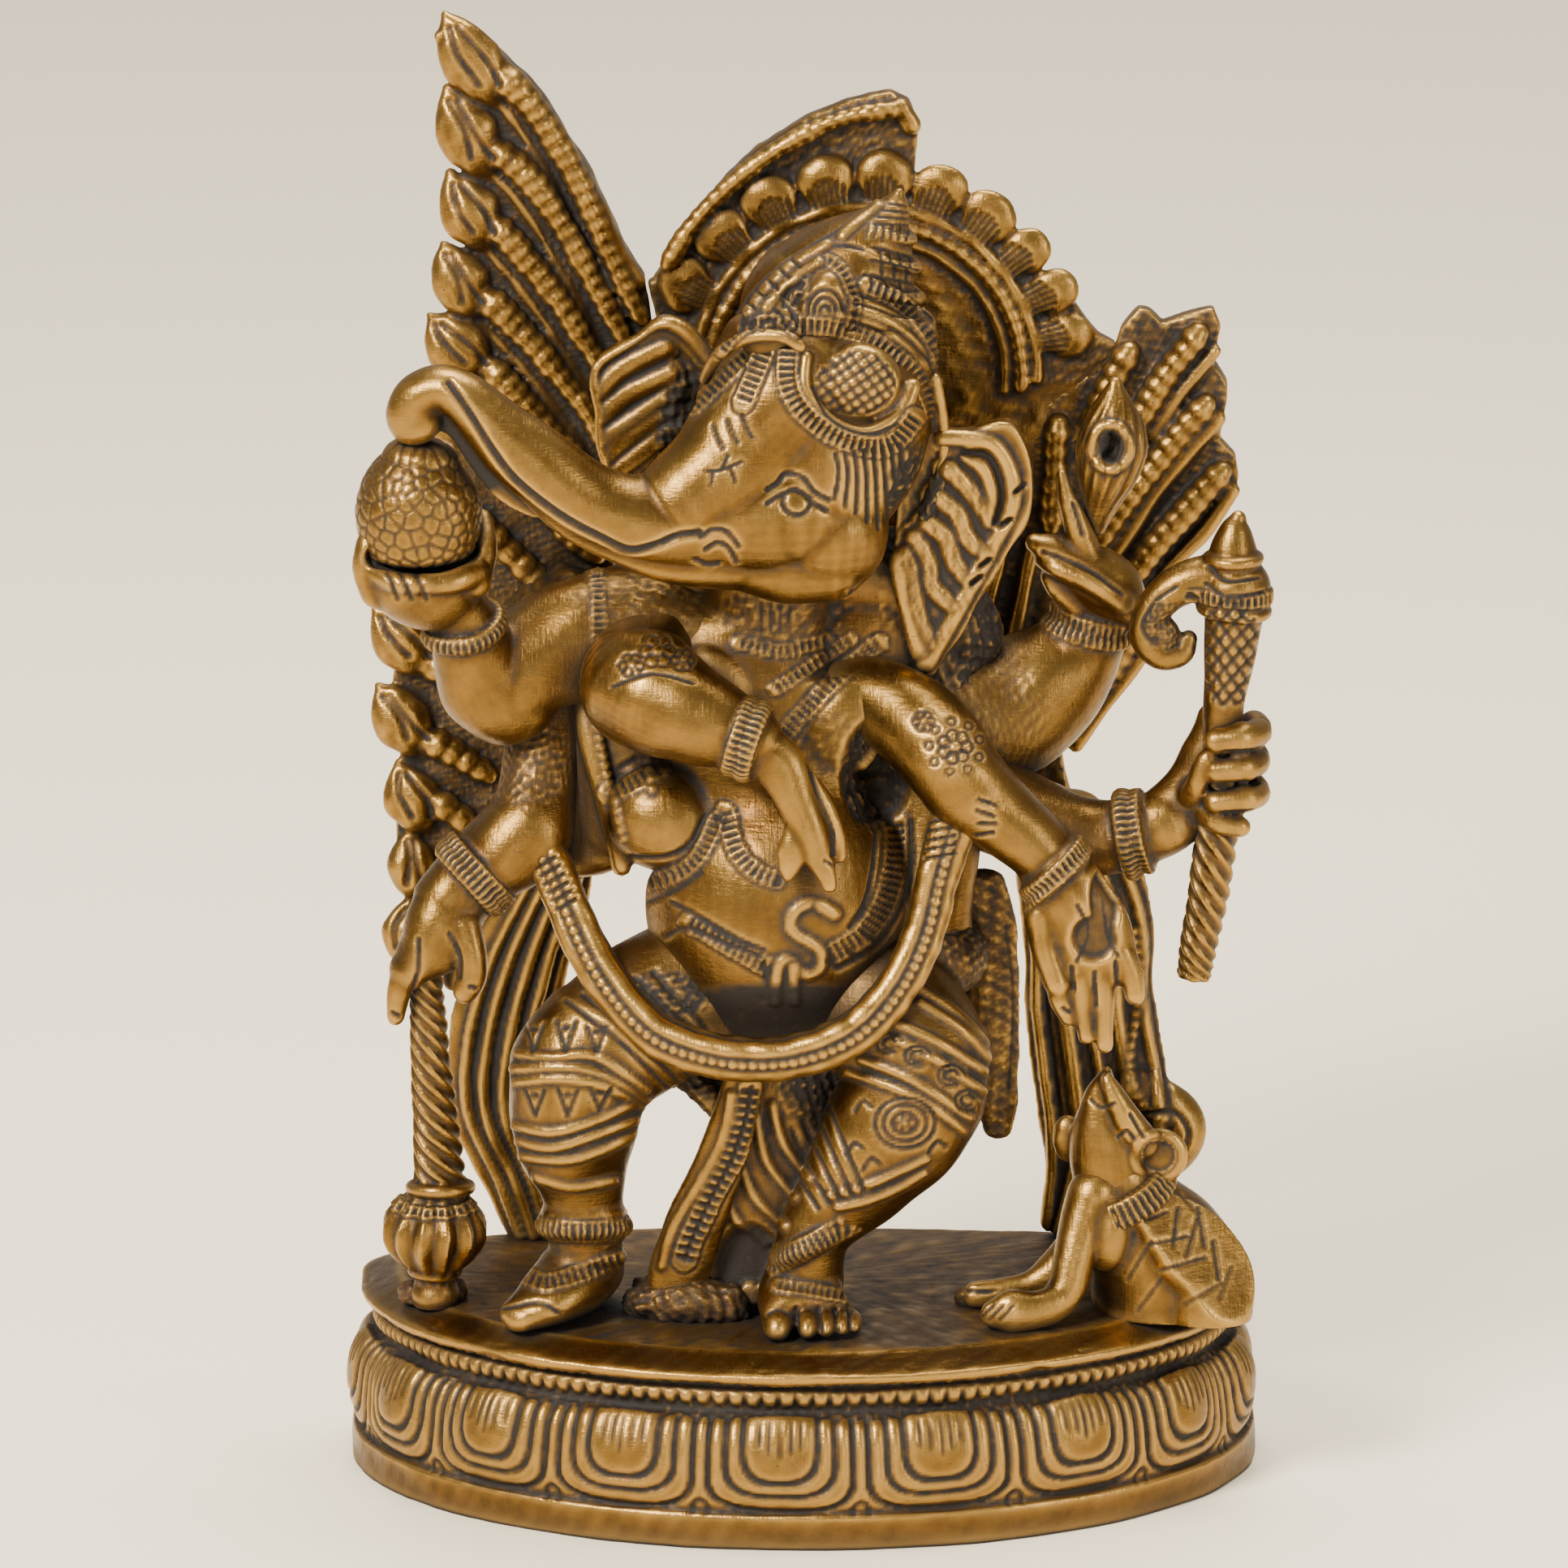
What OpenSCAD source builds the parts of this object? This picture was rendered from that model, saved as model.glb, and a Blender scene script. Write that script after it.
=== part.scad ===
// Cast brass figure of an elephant-headed deity dancing on a lotus plinth.
// X runs to the right hand side as seen from the front, Y to the back, Z up.
// The origin is the middle of the base. All lengths are millimetres.

/* [Plinth] */
// Width of the plinth from side to side
plinth_w = 158; // [150:1:164]
// Depth of the plinth from front to back
plinth_d = 83; // [78:1:88]
// Height of the plinth, up to the slab that the figure stands on
plinth_h = 33.4; // [32:0.2:36]
// Height of the plain band at the foot of the plinth
band_h = 6; // [4:0.5:8]
// Wall thickness of the hollow plinth casting
plinth_wall = 4; // [3:0.5:6]

/* [Backdrop] */
// Depth at which the back of the feather plates stands
back_y = 38; // [36:1:40]
// Thickness of the feather plates
plate_t = 4; // [3:0.5:6]
// Radius of the halo plate
halo_r = 33; // [31:0.5:35]
// Number of petals around the halo
halo_petals = 9; // [7:1:11]

/* [Figure] */
// Sides of each modelled limb
limb_sides = 12; // [10:1:14]
// Diameter of a bracelet's wire
bracelet_wire = 4; // [3:0.5:5]
// Diameter of a bead along the feather ribs
rib_w = 3.4; // [3:0.2:4]

/* [Hidden] */

brass = [0.72, 0.55, 0.29];
dark_brass = [0.55, 0.41, 0.21];
light_brass = [0.8, 0.63, 0.36];

// The plan of the plinth: a deep half ellipse in front, a shallow one behind.
plan_mid = plinth_d * 0.2;
front_d = plinth_d / 2 + plan_mid;
rear_d = plinth_d / 2 - plan_mid;
rear_square = 0.45;
plan_sides = 48;
top_z = plinth_h;
front_of_plates = back_y - plate_t;

// Control points are [x, y, z, half width, half depth]; a missing half depth
// is the same as the half width.
torso_path = [
  [-5, 2, 87, 15, 13], [-4, -2, 97, 19, 18], [-4, -3, 108, 21, 19],
  [-6, 0, 121, 19, 16], [-9, 2, 135, 19, 13], [-10, 3, 148, 20, 12],
  [-7, 3, 156, 12, 10], [-4, 3, 166, 9, 9]];
skull_path = [
  [3, -4, 165, 8, 9], [3, -4, 171, 12, 13], [2, -1, 181, 17, 17],
  [3, 2, 191, 20, 18], [4, 4, 200, 18, 17]];
trunk_path = [
  [-4, -6, 177, 13, 12], [-16, -10, 177, 11, 10], [-27, -13, 178, 8.5, 8],
  [-36, -15, 181.5, 6.7], [-45, -16, 188.5, 6.8], [-54, -16, 196, 5.6],
  [-62, -15, 202, 4.6], [-68, -14, 199, 4], [-69, -14, 193.5, 3.8]];
crown_path = [
  [4, 4, 197, 20.5, 18.5], [5, 4, 206, 19, 17], [6.5, 4, 212, 15.5, 14.5],
  [10.5, 4, 219, 10.5, 10], [13.5, 4, 225, 6.5], [15, 4, 228, 4],
  [16, 4, 230.5, 1.4]];
raised_upper = [
  [-20, 3, 149, 11, 10], [-35, 2, 151, 10], [-47, 0, 148, 9.5],
  [-54, -3, 143, 8.5]];
raised_fore = [[-54, -3, 143, 8.5], [-58, -6, 149, 7.8], [-60.5, -10, 158, 5.5]];
cup_hand = [
  [-61, -10, 160, 5], [-65, -12, 163.5, 8, 7], [-66.5, -12, 168, 9.8, 8.6],
  [-67, -12, 170, 10, 9]];
cup_blunt = 0.25;
heap_path = [
  [-66, -12, 173.5, 9.5, 9], [-66, -12, 179, 10.8, 9.5], [-66, -12, 185, 9, 8.4],
  [-66, -12, 188.5, 5]];
heap_blunt = 0.45;
crossing_path = [
  [-30, -2, 155, 8.5], [-29.5, -8, 148, 8.5], [-27, -15, 141, 8.5],
  [-18, -19, 140, 7], [-9, -21, 138.5, 5]];
crossing_hand = [
  [-7, -21, 138, 4.6], [-3, -23, 134, 3.6], [0, -24, 128, 3], [4, -24, 117, 2]];
crossing_thumb = [[-4, -23, 131, 2.4], [-3, -25, 122, 2.4], [-2, -25, 118, 2]];
mace_arm = [
  [-44, 6, 138, 7], [-45.5, 1, 128, 6.5], [-48, -4, 119, 8],
  [-57, -6, 111, 6.5], [-63, -8, 104, 7], [-65.5, -9, 96, 5.5],
  [-67, -9, 90, 3.5]];
mace_thumb = [[-61, -10, 103, 3.5], [-57, -11, 98, 3], [-57, -11, 93, 2.6]];
mace_shaft = [[-65, -8, 98, 3.5], [-64, -6.5, 75, 3.8], [-62.8, -5, 54, 4.3]];
mace_head = [
  [-63.5, -4.6, 54, 5], [-63.8, -4.6, 51, 8.6], [-64, -4.5, 46, 9.2],
  [-64, -4.4, 40.5, 5.5], [-64, -4.2, 37, 3.6], [-64, -4, 34.5, 4]];
front_arm = [
  [8, -2, 146, 9], [15, -6, 142, 8.5], [22, -10, 137, 8], [27, -12, 128.5, 9],
  [36, -13, 119.5, 8], [42.5, -14, 115, 6]];
front_hand = [
  [44, -14, 113.5, 5.5], [48, -15, 106, 8, 4], [50, -15, 98, 7.6, 3.4],
  [50.3, -15, 94, 6.8, 2.6]];
finger_tips = [[45.5, 88], [48.3, 85], [51.7, 84], [56.6, 93]];
rear_arm = [
  [20, 6, 137, 10], [34, 10, 136, 11], [44, 12, 143, 9], [49, 12, 150, 6.5]];
rear_hand = [
  [50, 11, 154, 5], [50, 10, 161, 7.5, 5], [47, 10, 169, 6.5, 4.5],
  [44, 10, 176, 4, 3]];
bud_path = [
  [50.5, 9, 170, 2.2], [52, 8, 177, 5], [53, 8, 184, 6.7, 5.6],
  [53.3, 8, 190, 4.6], [53.5, 8, 194.5, 1.4]];
goad_arm_path = [
  [32, 2, 122, 8], [44, 1, 116.5, 7], [56, 0, 117, 6.2], [64, -1, 121, 6],
  [70, -2, 127, 6.2], [72, -2, 136, 5.4]];
goad_shaft = [
  [67.5, -3, 92, 3], [69.8, -3, 108, 3.3], [72, -3, 126, 3.5],
  [72, -3, 138, 3.1], [74, -3, 158, 4.5]];
goad_head = [
  [74, -3, 157, 5], [74, -3, 161, 5.8], [73.5, -3, 166, 4.6], [74, -3, 170, 3.4],
  [74.5, -3, 173, 2]];
goad_hook = [
  [72, -3, 162, 3.4], [65, -3, 161, 3.2], [60, -3, 156, 3.2], [61, -3, 150.5, 3],
  [65, -3, 150, 2.2]];
sash_path = [
  [-42, -9, 112, 3.4], [-40, -12, 107, 3.3, 3], [-37, -15, 101, 3.3, 3],
  [-33, -18, 94, 3.3, 3], [-26, -21, 87.5, 3.3, 3], [-15, -23.5, 84.2, 3.3, 3],
  [-5, -24, 83.9, 3.3, 3], [4, -24, 86, 3.3, 3], [11, -22.5, 90, 3.3, 3],
  [17, -20, 97, 3.3, 3], [20.5, -17, 105, 3.3, 3], [22.5, -15, 114, 3.4, 3],
  [24, -14, 122, 3.6]];
left_thigh = [[-12, 0, 90, 14], [-27, -8, 86, 13], [-38, -13, 81, 11.5]];
left_shin = [
  [-38.5, -13, 82, 11.5], [-39, -13, 74, 11.4], [-39.5, -12, 64, 9.5],
  [-38, -11, 54, 6.3], [-38, -10, 47, 6.5], [-38, -9, 42, 6.8]];
left_foot = [
  [-38, -6, 40, 6.2, 6], [-41, -12, 39.5, 7.2, 5.6], [-46, -18, 37.4, 6, 3.8],
  [-49.5, -20.5, 36.2, 4, 2.6]];
right_thigh = [[5, 0, 90, 14], [14, -8, 87, 13.5], [20, -13, 80, 12.5]];
right_shin = [
  [20, -13, 80, 12], [15, -14, 70, 11.6], [8, -15, 60, 9], [2, -16, 52, 6.5],
  [1, -16, 46, 6.5], [0, -15, 42, 6.6]];
right_foot = [
  [0, -13, 40, 6.4, 6.2], [0, -19, 38.4, 7.5, 4.8], [1, -24, 36.8, 8.4, 3.2]];
pleat_path = [
  [-9, -16, 80, 3, 2], [-12, -15, 67, 3.4, 2], [-17.5, -13, 54, 4.2, 2],
  [-22, -12, 42, 4.2, 2.2], [-22, -11, 35.5, 4.2, 2.2]];
cloth_path = [
  [29, 4, 102, 3.5, 2], [31.5, 5, 88, 5, 2], [32.4, 5, 74, 4.8, 2],
  [33, 5, 62, 3.4, 1.8]];
left_tail = [
  [-44, 4, 118, 4.5, 3], [-42, 18, 111, 5, 3], [-43, 30, 101, 6.5, 3],
  [-48, 34, 84, 8, 3], [-53, 35, 70, 8.5, 3], [-54, 35.5, 57, 8, 3],
  [-49, 35.5, 44, 7, 3], [-45, 35, 35.5, 6, 2.6]];
right_tail = [
  [33, 2, 121, 4.5, 3], [40, 18, 115, 6, 3], [46, 30, 106, 9, 3],
  [49.5, 34, 92, 11, 3], [50, 35, 76, 11, 3], [52, 35.5, 62, 12, 3],
  [53, 35.5, 50, 10.5, 3], [48, 35, 36, 7, 3]];
right_tail_roll = [
  [58, 35, 60, 4, 3], [64, 34, 56, 4.5, 3.6], [66, 34, 51, 3.6, 3.2],
  [61, 34.5, 46, 3, 2.6]];
mouse_body_path = [
  [54, -6, 55, 7, 7], [57, -5, 49, 9, 9], [61, -3, 43, 11.5, 11],
  [64, -1, 38, 12, 12.5]];
mouse_leg = [
  [49, -11, 54, 4.4], [46.5, -13, 46, 3.6], [45, -17, 38.5, 3.2],
  [40, -19, 36.4, 2.8], [35.5, -19.6, 36, 2.5]];
mouse_far_leg = [[49, -4, 44, 4], [42, -6, 37.5, 3], [34, -7, 36, 2.5], [29, -7.5, 35.8, 2.3]];
mouse_head_path = [
  [53.5, -6, 57, 7], [52, -7, 64, 6], [51.8, -8, 70, 3.6], [52.4, -9, 75.6, 1.3]];
halo_mid = [11, 190.3];

// Each rib of a tail fan, in the plane of the plates, as [x, z].
left_ribs = [
  [[-52, 241], [-44, 233], [-37, 221], [-32, 211], [-28, 202]],
  [[-52, 228], [-44, 221], [-36, 209], [-30, 197]],
  [[-53, 215], [-44, 206], [-37, 196], [-33, 190]],
  [[-54, 204], [-46, 196], [-38, 187], [-34, 181]],
  [[-55, 192], [-47, 184], [-38, 175]],
  [[-55, 162], [-46, 152], [-38, 144]],
  [[-65, 123], [-55, 118]],
  [[-65, 111], [-57, 106]]];
right_ribs = [
  [[56, 181], [66, 196]],
  [[52, 161], [60, 173], [68, 184]],
  [[57, 152], [65, 164], [72, 173]],
  [[47, 127], [51, 134], [57, 142]]];
// Leaves along the outer edge of the left fan, as [x, z, height].
left_leaves = [
  [-60, 246, 13], [-59, 234, 13], [-58.5, 219, 11], [-60, 207, 10],
  [-61, 196, 10], [-69.5, 143, 10], [-69.5, 129, 11], [-68, 115, 9],
  [-68, 104, 7], [-70, 92, 6]];

// Geometry helpers
function between(a, b, c, d, t) = 0.5 * (2 * b + (c - a) * t
  + (2 * a - 5 * b + 4 * c - d) * t * t + (3 * b - a - 3 * c + d) * t * t * t);
function full(p) = len(p) == 5 ? p : concat(p, [p[3]]);
function smooth(p, n) = [
  for (i = [0:len(p) - 2], j = [0:n - 1])
    between(p[max(i - 1, 0)], p[i], p[i + 1], p[min(i + 2, len(p) - 1)], j / n),
  p[len(p) - 1]];
function place(p) = [p[0], p[1], p[2]];
function unit(v) = v / norm(v);
function ring(mid, dir, a, b, side, n) =
  let (u = unit(cross(side, dir)), v = cross(dir, u))
  [for (k = [0:n - 1]) mid + a * cos(360 * k / n) * u + b * sin(360 * k / n) * v];

// A closed solid through a list of rings that all have the same count.
module skin(rings) {
  n = len(rings[0]);
  last = len(rings) - 1;
  polyhedron([for (r = rings) each r], concat(
    [[for (k = [0:n - 1]) k]],
    [for (i = [0:last - 1], k = [0:n - 1])
      [i * n + k, (i + 1) * n + k, i * n + (k + 1) % n]],
    [for (i = [0:last - 1], k = [0:n - 1])
      [i * n + (k + 1) % n, (i + 1) * n + k, (i + 1) * n + (k + 1) % n]],
    [[for (k = [n - 1:-1:0]) last * n + k]]));
}

// A limb that follows control points, with a rounded cap at both ends. A blunt
// of 1 gives a full round cap, and less flattens it.
module limb(path, side = [0, 1, 0], n = limb_sides, steps = 2, blunt = 1) {
  p = smooth([for (q = path) full(q)], steps);
  m = len(p) - 1;
  dir = [for (i = [0:m]) unit(place(p[min(i + 1, m)]) - place(p[max(i - 1, 0)]))];
  cap = [70, 35];
  first_cap = blunt * min(p[0][3], p[0][4]);
  last_cap = blunt * min(p[m][3], p[m][4]);
  start = [for (a = cap) ring(place(p[0]) - dir[0] * first_cap * sin(a),
    dir[0], p[0][3] * cos(a), p[0][4] * cos(a), side, n)];
  end = [for (i = [1, 0]) ring(place(p[m]) + dir[m] * last_cap * sin(cap[i]),
    dir[m], p[m][3] * cos(cap[i]), p[m][4] * cos(cap[i]), side, n)];
  body = [for (i = [0:m]) ring(place(p[i]), dir[i], p[i][3], p[i][4], side, n)];
  skin(concat(start, body, end));
}

// A flat plate that stands in the plane of the backdrop, from a list of [x, z].
module plate(outline, back = back_y, t = plate_t) {
  translate([0, back, 0]) rotate([90, 0, 0]) linear_extrude(t) polygon(outline);
}

// A raised rib on the front of a plate.
module rib(line, w = rib_w) {
  limb([for (q = line) [q[0], front_of_plates - 0.6, q[1], w / 2, w / 2]], n = 8, steps = 1);
}

// A ring of wire around a limb.
module bracelet(mid, dir, r) {
  turn = acos(dir[2] / norm(dir));
  translate(mid) rotate(turn, cross([0, 0, 1], dir))
    rotate_extrude($fn = 32) translate([r, 0]) circle(d = bracelet_wire, $fn = 16);
}

function plan(grow, z) = [for (k = [0:plan_sides - 1])
  let (a = -360 * k / plan_sides, c = cos(a), s = sin(a))
  [(plinth_w / 2 + grow) * c,
    plan_mid + (s < 0 ? (front_d + grow) * s : (rear_d + grow * 0.25) * pow(s, rear_square)), z]];

module plinth() {
  lotus_z = 22;
  color(brass) skin([
    plan(-plinth_wall - 11, top_z - plinth_wall), plan(-plinth_wall - 6, 24),
    plan(-plinth_wall, 8), plan(-plinth_wall, 0), plan(0, 0), plan(0, band_h),
    plan(-0.9, band_h + 0.6), plan(-0.3, 14), plan(-1.8, lotus_z),
    plan(-4.2, lotus_z + 1.4), plan(-4.4, 28.4), plan(-2.2, 29.4),
    plan(-1.8, 30.6), plan(-8.2, top_z)]);
}

module halo() {
  fill = [[-27, 207], [-24, 196], [-20, 180], [40, 172], [52, 180], [54, 195],
    [51, 196], [46, 203], [42, 203], [11, 205]];
  crest = [[-25, 207], [-20, 215], [-15, 223], [-8, 230], [0, 235], [8, 238.5],
    [15, 240], [18, 238], [20, 234], [19, 226], [0, 215]];
  color(dark_brass) {
    plate(fill);
    plate(crest);
    translate([halo_mid[0], back_y, halo_mid[1]]) rotate([90, 0, 0])
      cylinder(r = halo_r, h = plate_t, $fn = 64);
    for (r = [29.5, 26, 22.6])
      translate([halo_mid[0], front_of_plates + 0.5, halo_mid[1]]) rotate([90, 0, 0])
        rotate_extrude(angle = 180, $fn = 64) translate([r, 0]) circle(d = 2.6, $fn = 14);
    for (i = [0:halo_petals - 1])
      translate([halo_mid[0], front_of_plates + 2, halo_mid[1]])
        rotate([0, 78 - 168 * (1 - i / (halo_petals - 1)), 0])
          translate([0, 0, halo_r + 1.2]) rotate([90, 0, 0]) cylinder(r = 5.4, h = 5, $fn = 24);
  }
}

module left_tail_fan() {
  edge = [[-64, 254], [-60, 253], [-54, 250], [-48, 244], [-43, 237], [-38, 228],
    [-34, 220], [-31, 213], [-27.5, 207]];
  rest = [[-26, 198], [-28, 180], [-34, 150], [-42, 125], [-52, 106], [-66, 90],
    [-70, 92], [-68, 115], [-69, 140], [-66, 160], [-62, 180], [-57, 200],
    [-57, 225], [-60, 240]];
  color(dark_brass) {
    plate(concat(edge, rest));
    for (line = left_ribs) rib(line);
    for (f = left_leaves)
      limb([[f[0] - 1.6, front_of_plates, f[1] + f[2] / 2 - 1, 1, 1],
        [f[0], front_of_plates - 0.5, f[1], f[2] * 0.42, 3],
        [f[0] + 1.4, front_of_plates, f[1] - f[2] / 2 + 1, 1.4, 1.4]], n = 8, steps = 1);
  }
}

module right_tail_fan() {
  outline = [[54, 195], [55, 198], [58, 201.5], [60, 201], [62, 199], [66, 200],
    [71, 201], [72, 198], [71, 192], [73, 188], [73, 185], [72, 178], [74.5, 175],
    [75, 171], [73, 166], [70, 162], [63, 152], [57, 137], [48, 126], [45, 121],
    [47, 112], [40, 110], [32, 125], [30, 150], [34, 172], [44, 186]];
  color(dark_brass) {
    plate(outline);
    for (line = right_ribs) rib(line);
  }
}

module torso() {
  color(brass) limb(torso_path, n = 18);
}

module head_and_trunk() {
  color(light_brass) {
    limb(skull_path, n = 18);
    limb(trunk_path);
  }
}

module crown() {
  color(brass) difference() {
    limb(crown_path, n = 18);
    limb(skull_path, n = 18);
  }
}

module left_ear() {
  outline = [[-16, 199], [-20, 205], [-25, 206], [-30, 203], [-36, 198], [-35, 190],
    [-35, 184], [-33, 179], [-27, 176], [-19, 180], [-15, 188]];
  color(brass) difference() {
    plate(outline, back = 11, t = 5);
    limb(skull_path, n = 18);
  }
}

module right_ear() {
  outline = [[20, 188], [27, 188], [35, 190], [38, 185], [39.5, 178], [38, 173],
    [35, 168], [30, 159], [25, 150], [21, 146], [19, 152], [17, 160], [16, 168], [17, 178]];
  color(brass) difference() {
    plate(outline, back = 3, t = 5);
    limb(skull_path, n = 18);
  }
}

module raised_left_arm() {
  color(brass) difference() {
    union() {
      limb(raised_upper);
      limb(raised_fore);
      limb(cup_hand, blunt = cup_blunt);
      bracelet([-60, -9.4, 156.5], [-2, -3, 8], 5.6);
    }
    limb(torso_path, n = 18);
  }
}

module sweet_heap() {
  color(light_brass) difference() {
    limb(heap_path, n = 16, blunt = heap_blunt);
    limb(cup_hand, blunt = cup_blunt);
  }
}

module crossing_arm() {
  color(light_brass) difference() {
    union() {
      limb(crossing_path);
      limb(crossing_hand, n = 10);
      limb(crossing_thumb, n = 10);
      bracelet([-8.5, -21, 138.4], [9, -2, -2], 5.2);
    }
    limb(torso_path, n = 18);
  }
}

module lower_left_arm() {
  color(brass) difference() {
    union() {
      limb(mace_arm);
      limb(mace_thumb, n = 10);
      bracelet([-57.5, -6.2, 110.6], [-8, -2, -7], 6.4);
    }
    limb(mace_shaft);
  }
}

module mace() {
  color(light_brass) {
    limb(mace_shaft);
    limb(mace_head, n = 16);
  }
}

module front_right_arm() {
  color(light_brass) difference() {
    union() {
      limb(front_arm);
      limb(front_hand);
      for (tip = finger_tips)
        limb([[tip[0] * 0.7 + 15, -15, 97, 2.4], [tip[0], -16, tip[1], 1.7]],
          n = 8, steps = 1);
      bracelet([43, -14, 114.6], [7, -1, -7], 5.6);
    }
    limb(torso_path, n = 18);
  }
}

module raised_right_arm() {
  color(brass) difference() {
    union() {
      limb(rear_arm);
      limb(rear_hand);
      bracelet([49.6, 11.6, 151.6], [1, -1, 6], 5.8);
    }
    limb(front_arm);
  }
}

module flower_bud() {
  color(brass) difference() {
    limb(bud_path);
    limb(rear_hand);
  }
}

module goad_arm() {
  color(brass) difference() {
    union() {
      limb(goad_arm_path);
      bracelet([56, 0, 117], [9, 0, 2], 6);
    }
    limb(goad_shaft);
    limb(front_arm);
  }
}

module goad() {
  color(light_brass) {
    limb(goad_shaft);
    limb(goad_head);
    limb(goad_hook, n = 10);
  }
}

module sash() {
  color(light_brass) difference() {
    limb(sash_path, n = 10);
    limb(mace_arm);
    limb(front_arm);
  }
}

module left_leg() {
  color(brass) difference() {
    union() {
      limb(left_thigh);
      limb(left_shin);
      limb(left_foot, side = [0, 0, 1]);
      bracelet([-38, -10.4, 49.5], [0, 1, -8], 6.4);
    }
    limb(torso_path, n = 18);
    floor_cut();
  }
}

module right_leg() {
  color(brass) difference() {
    union() {
      limb(right_thigh);
      limb(right_shin);
      limb(right_foot, side = [0, 0, 1]);
      bracelet([1.4, -16, 49], [-4, 0, -8], 6.6);
    }
    limb(torso_path, n = 18);
    floor_cut();
  }
}

// Everything below the top of the slab, taken off whatever stands on it.
module floor_cut() {
  translate([0, 0, top_z - 20]) cube([2 * plinth_w, 2 * plinth_w, 40], center = true);
}

module waist_pleat() {
  color(brass) difference() {
    limb(pleat_path);
    floor_cut();
  }
}

module side_cloth() {
  color(brass) limb(cloth_path, n = 10);
}

module left_scarf_tail() {
  color(dark_brass) difference() {
    limb(left_tail);
    limb(mace_arm);
    floor_cut();
  }
}

module right_scarf_tail() {
  color(dark_brass) difference() {
    union() {
      limb(right_tail);
      limb(right_tail_roll, n = 10);
    }
    limb(goad_arm_path);
    floor_cut();
  }
}

module mouse_body() {
  color(light_brass) difference() {
    union() {
      limb(mouse_body_path, n = 14);
      limb(mouse_leg, n = 10);
      limb(mouse_far_leg, n = 10);
    }
    floor_cut();
  }
}

module mouse_head() {
  color(light_brass) difference() {
    union() {
      limb(mouse_head_path);
      translate([60, -7, 60]) rotate([90, 0, 0]) cylinder(r = 5, h = 2.5, center = true, $fn = 24);
    }
    limb(mouse_body_path, n = 14);
  }
}

module mouse_collar() {
  color(dark_brass) difference() {
    bracelet([54.5, -5.8, 54], [3, 1, -6], 7.6);
    limb(mouse_body_path, n = 14);
  }
}

module back_lugs() {
  color(dark_brass) {
    limb([[6, 17, 194, 7, 7], [8, back_y - plate_t, 192, 8, 8]], side = [0, 0, 1], n = 12);
    limb([[-40, 8, 150, 6, 6], [-42, back_y - plate_t, 148, 7, 7]], side = [0, 0, 1], n = 12);
    limb([[36, 17, 138, 6, 6], [40, back_y - plate_t, 136, 7, 7]], side = [0, 0, 1], n = 12);
  }
}

module brazing() {
  color(dark_brass) difference() {
    union() {
      limb([[-27, -11, 35, 3.2, 4], [-20, -12, 35.6, 4.5, 5], [-12, -12, 35, 3, 4]], n = 10);
      limb([[-67, -4, 34.6, 2, 3], [-61, -4, 34.6, 2, 3]], n = 10);
    }
    limb(pleat_path);
    limb(mace_head, n = 16);
    floor_cut();
  }
}

plinth();
halo();
left_tail_fan();
right_tail_fan();
left_scarf_tail();
right_scarf_tail();
torso();
head_and_trunk();
crown();
left_ear();
right_ear();
raised_left_arm();
sweet_heap();
crossing_arm();
lower_left_arm();
mace();
front_right_arm();
raised_right_arm();
flower_bud();
goad_arm();
goad();
sash();
left_leg();
right_leg();
waist_pleat();
side_cloth();
mouse_body();
mouse_head();
mouse_collar();
back_lugs();
brazing();
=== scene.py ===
"""An antique brass figure of a dancing elephant-headed deity on a lotus plinth.

Each casting is built up the way a modeller works in wax: swept forms, domes and wires are joined
and fused, smoothed, and then chased from the front with beads, ladders, folds and cut lines.
Lengths are millimetres until a form becomes an object, and metres after that.
"""
import math

import bpy
import numpy as np
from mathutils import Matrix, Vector


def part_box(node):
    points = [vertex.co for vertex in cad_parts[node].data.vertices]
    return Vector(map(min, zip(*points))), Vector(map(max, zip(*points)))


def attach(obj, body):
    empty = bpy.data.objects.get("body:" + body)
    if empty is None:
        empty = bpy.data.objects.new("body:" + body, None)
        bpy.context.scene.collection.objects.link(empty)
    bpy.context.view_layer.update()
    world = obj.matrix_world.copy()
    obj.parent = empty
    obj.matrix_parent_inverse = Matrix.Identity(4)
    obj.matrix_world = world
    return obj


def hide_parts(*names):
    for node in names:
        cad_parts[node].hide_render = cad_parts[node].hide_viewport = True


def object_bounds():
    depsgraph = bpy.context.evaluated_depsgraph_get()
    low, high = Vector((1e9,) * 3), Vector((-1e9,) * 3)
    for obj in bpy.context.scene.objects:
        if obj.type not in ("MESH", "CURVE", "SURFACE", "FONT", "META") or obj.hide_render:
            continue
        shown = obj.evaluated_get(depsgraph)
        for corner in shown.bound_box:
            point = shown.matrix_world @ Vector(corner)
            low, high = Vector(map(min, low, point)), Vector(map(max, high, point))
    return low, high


bl_info = {
    "name": "Brass Deity Statue",
    "version": (1, 0, 0),
    "blender": (4, 5, 0),
    "location": "View3D > Sidebar > Brass Statue",
    "description": "Builds a chased brass figure of an elephant-headed deity on a lotus plinth",
    "category": "Add Mesh",
}

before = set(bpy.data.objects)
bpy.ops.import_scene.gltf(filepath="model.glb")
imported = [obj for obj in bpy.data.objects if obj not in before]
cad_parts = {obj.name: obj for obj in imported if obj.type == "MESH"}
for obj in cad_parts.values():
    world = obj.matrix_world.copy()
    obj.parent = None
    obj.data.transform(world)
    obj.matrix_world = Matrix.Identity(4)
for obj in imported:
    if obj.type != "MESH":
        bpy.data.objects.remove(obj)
cad_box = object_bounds()

MM = 0.001
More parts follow.
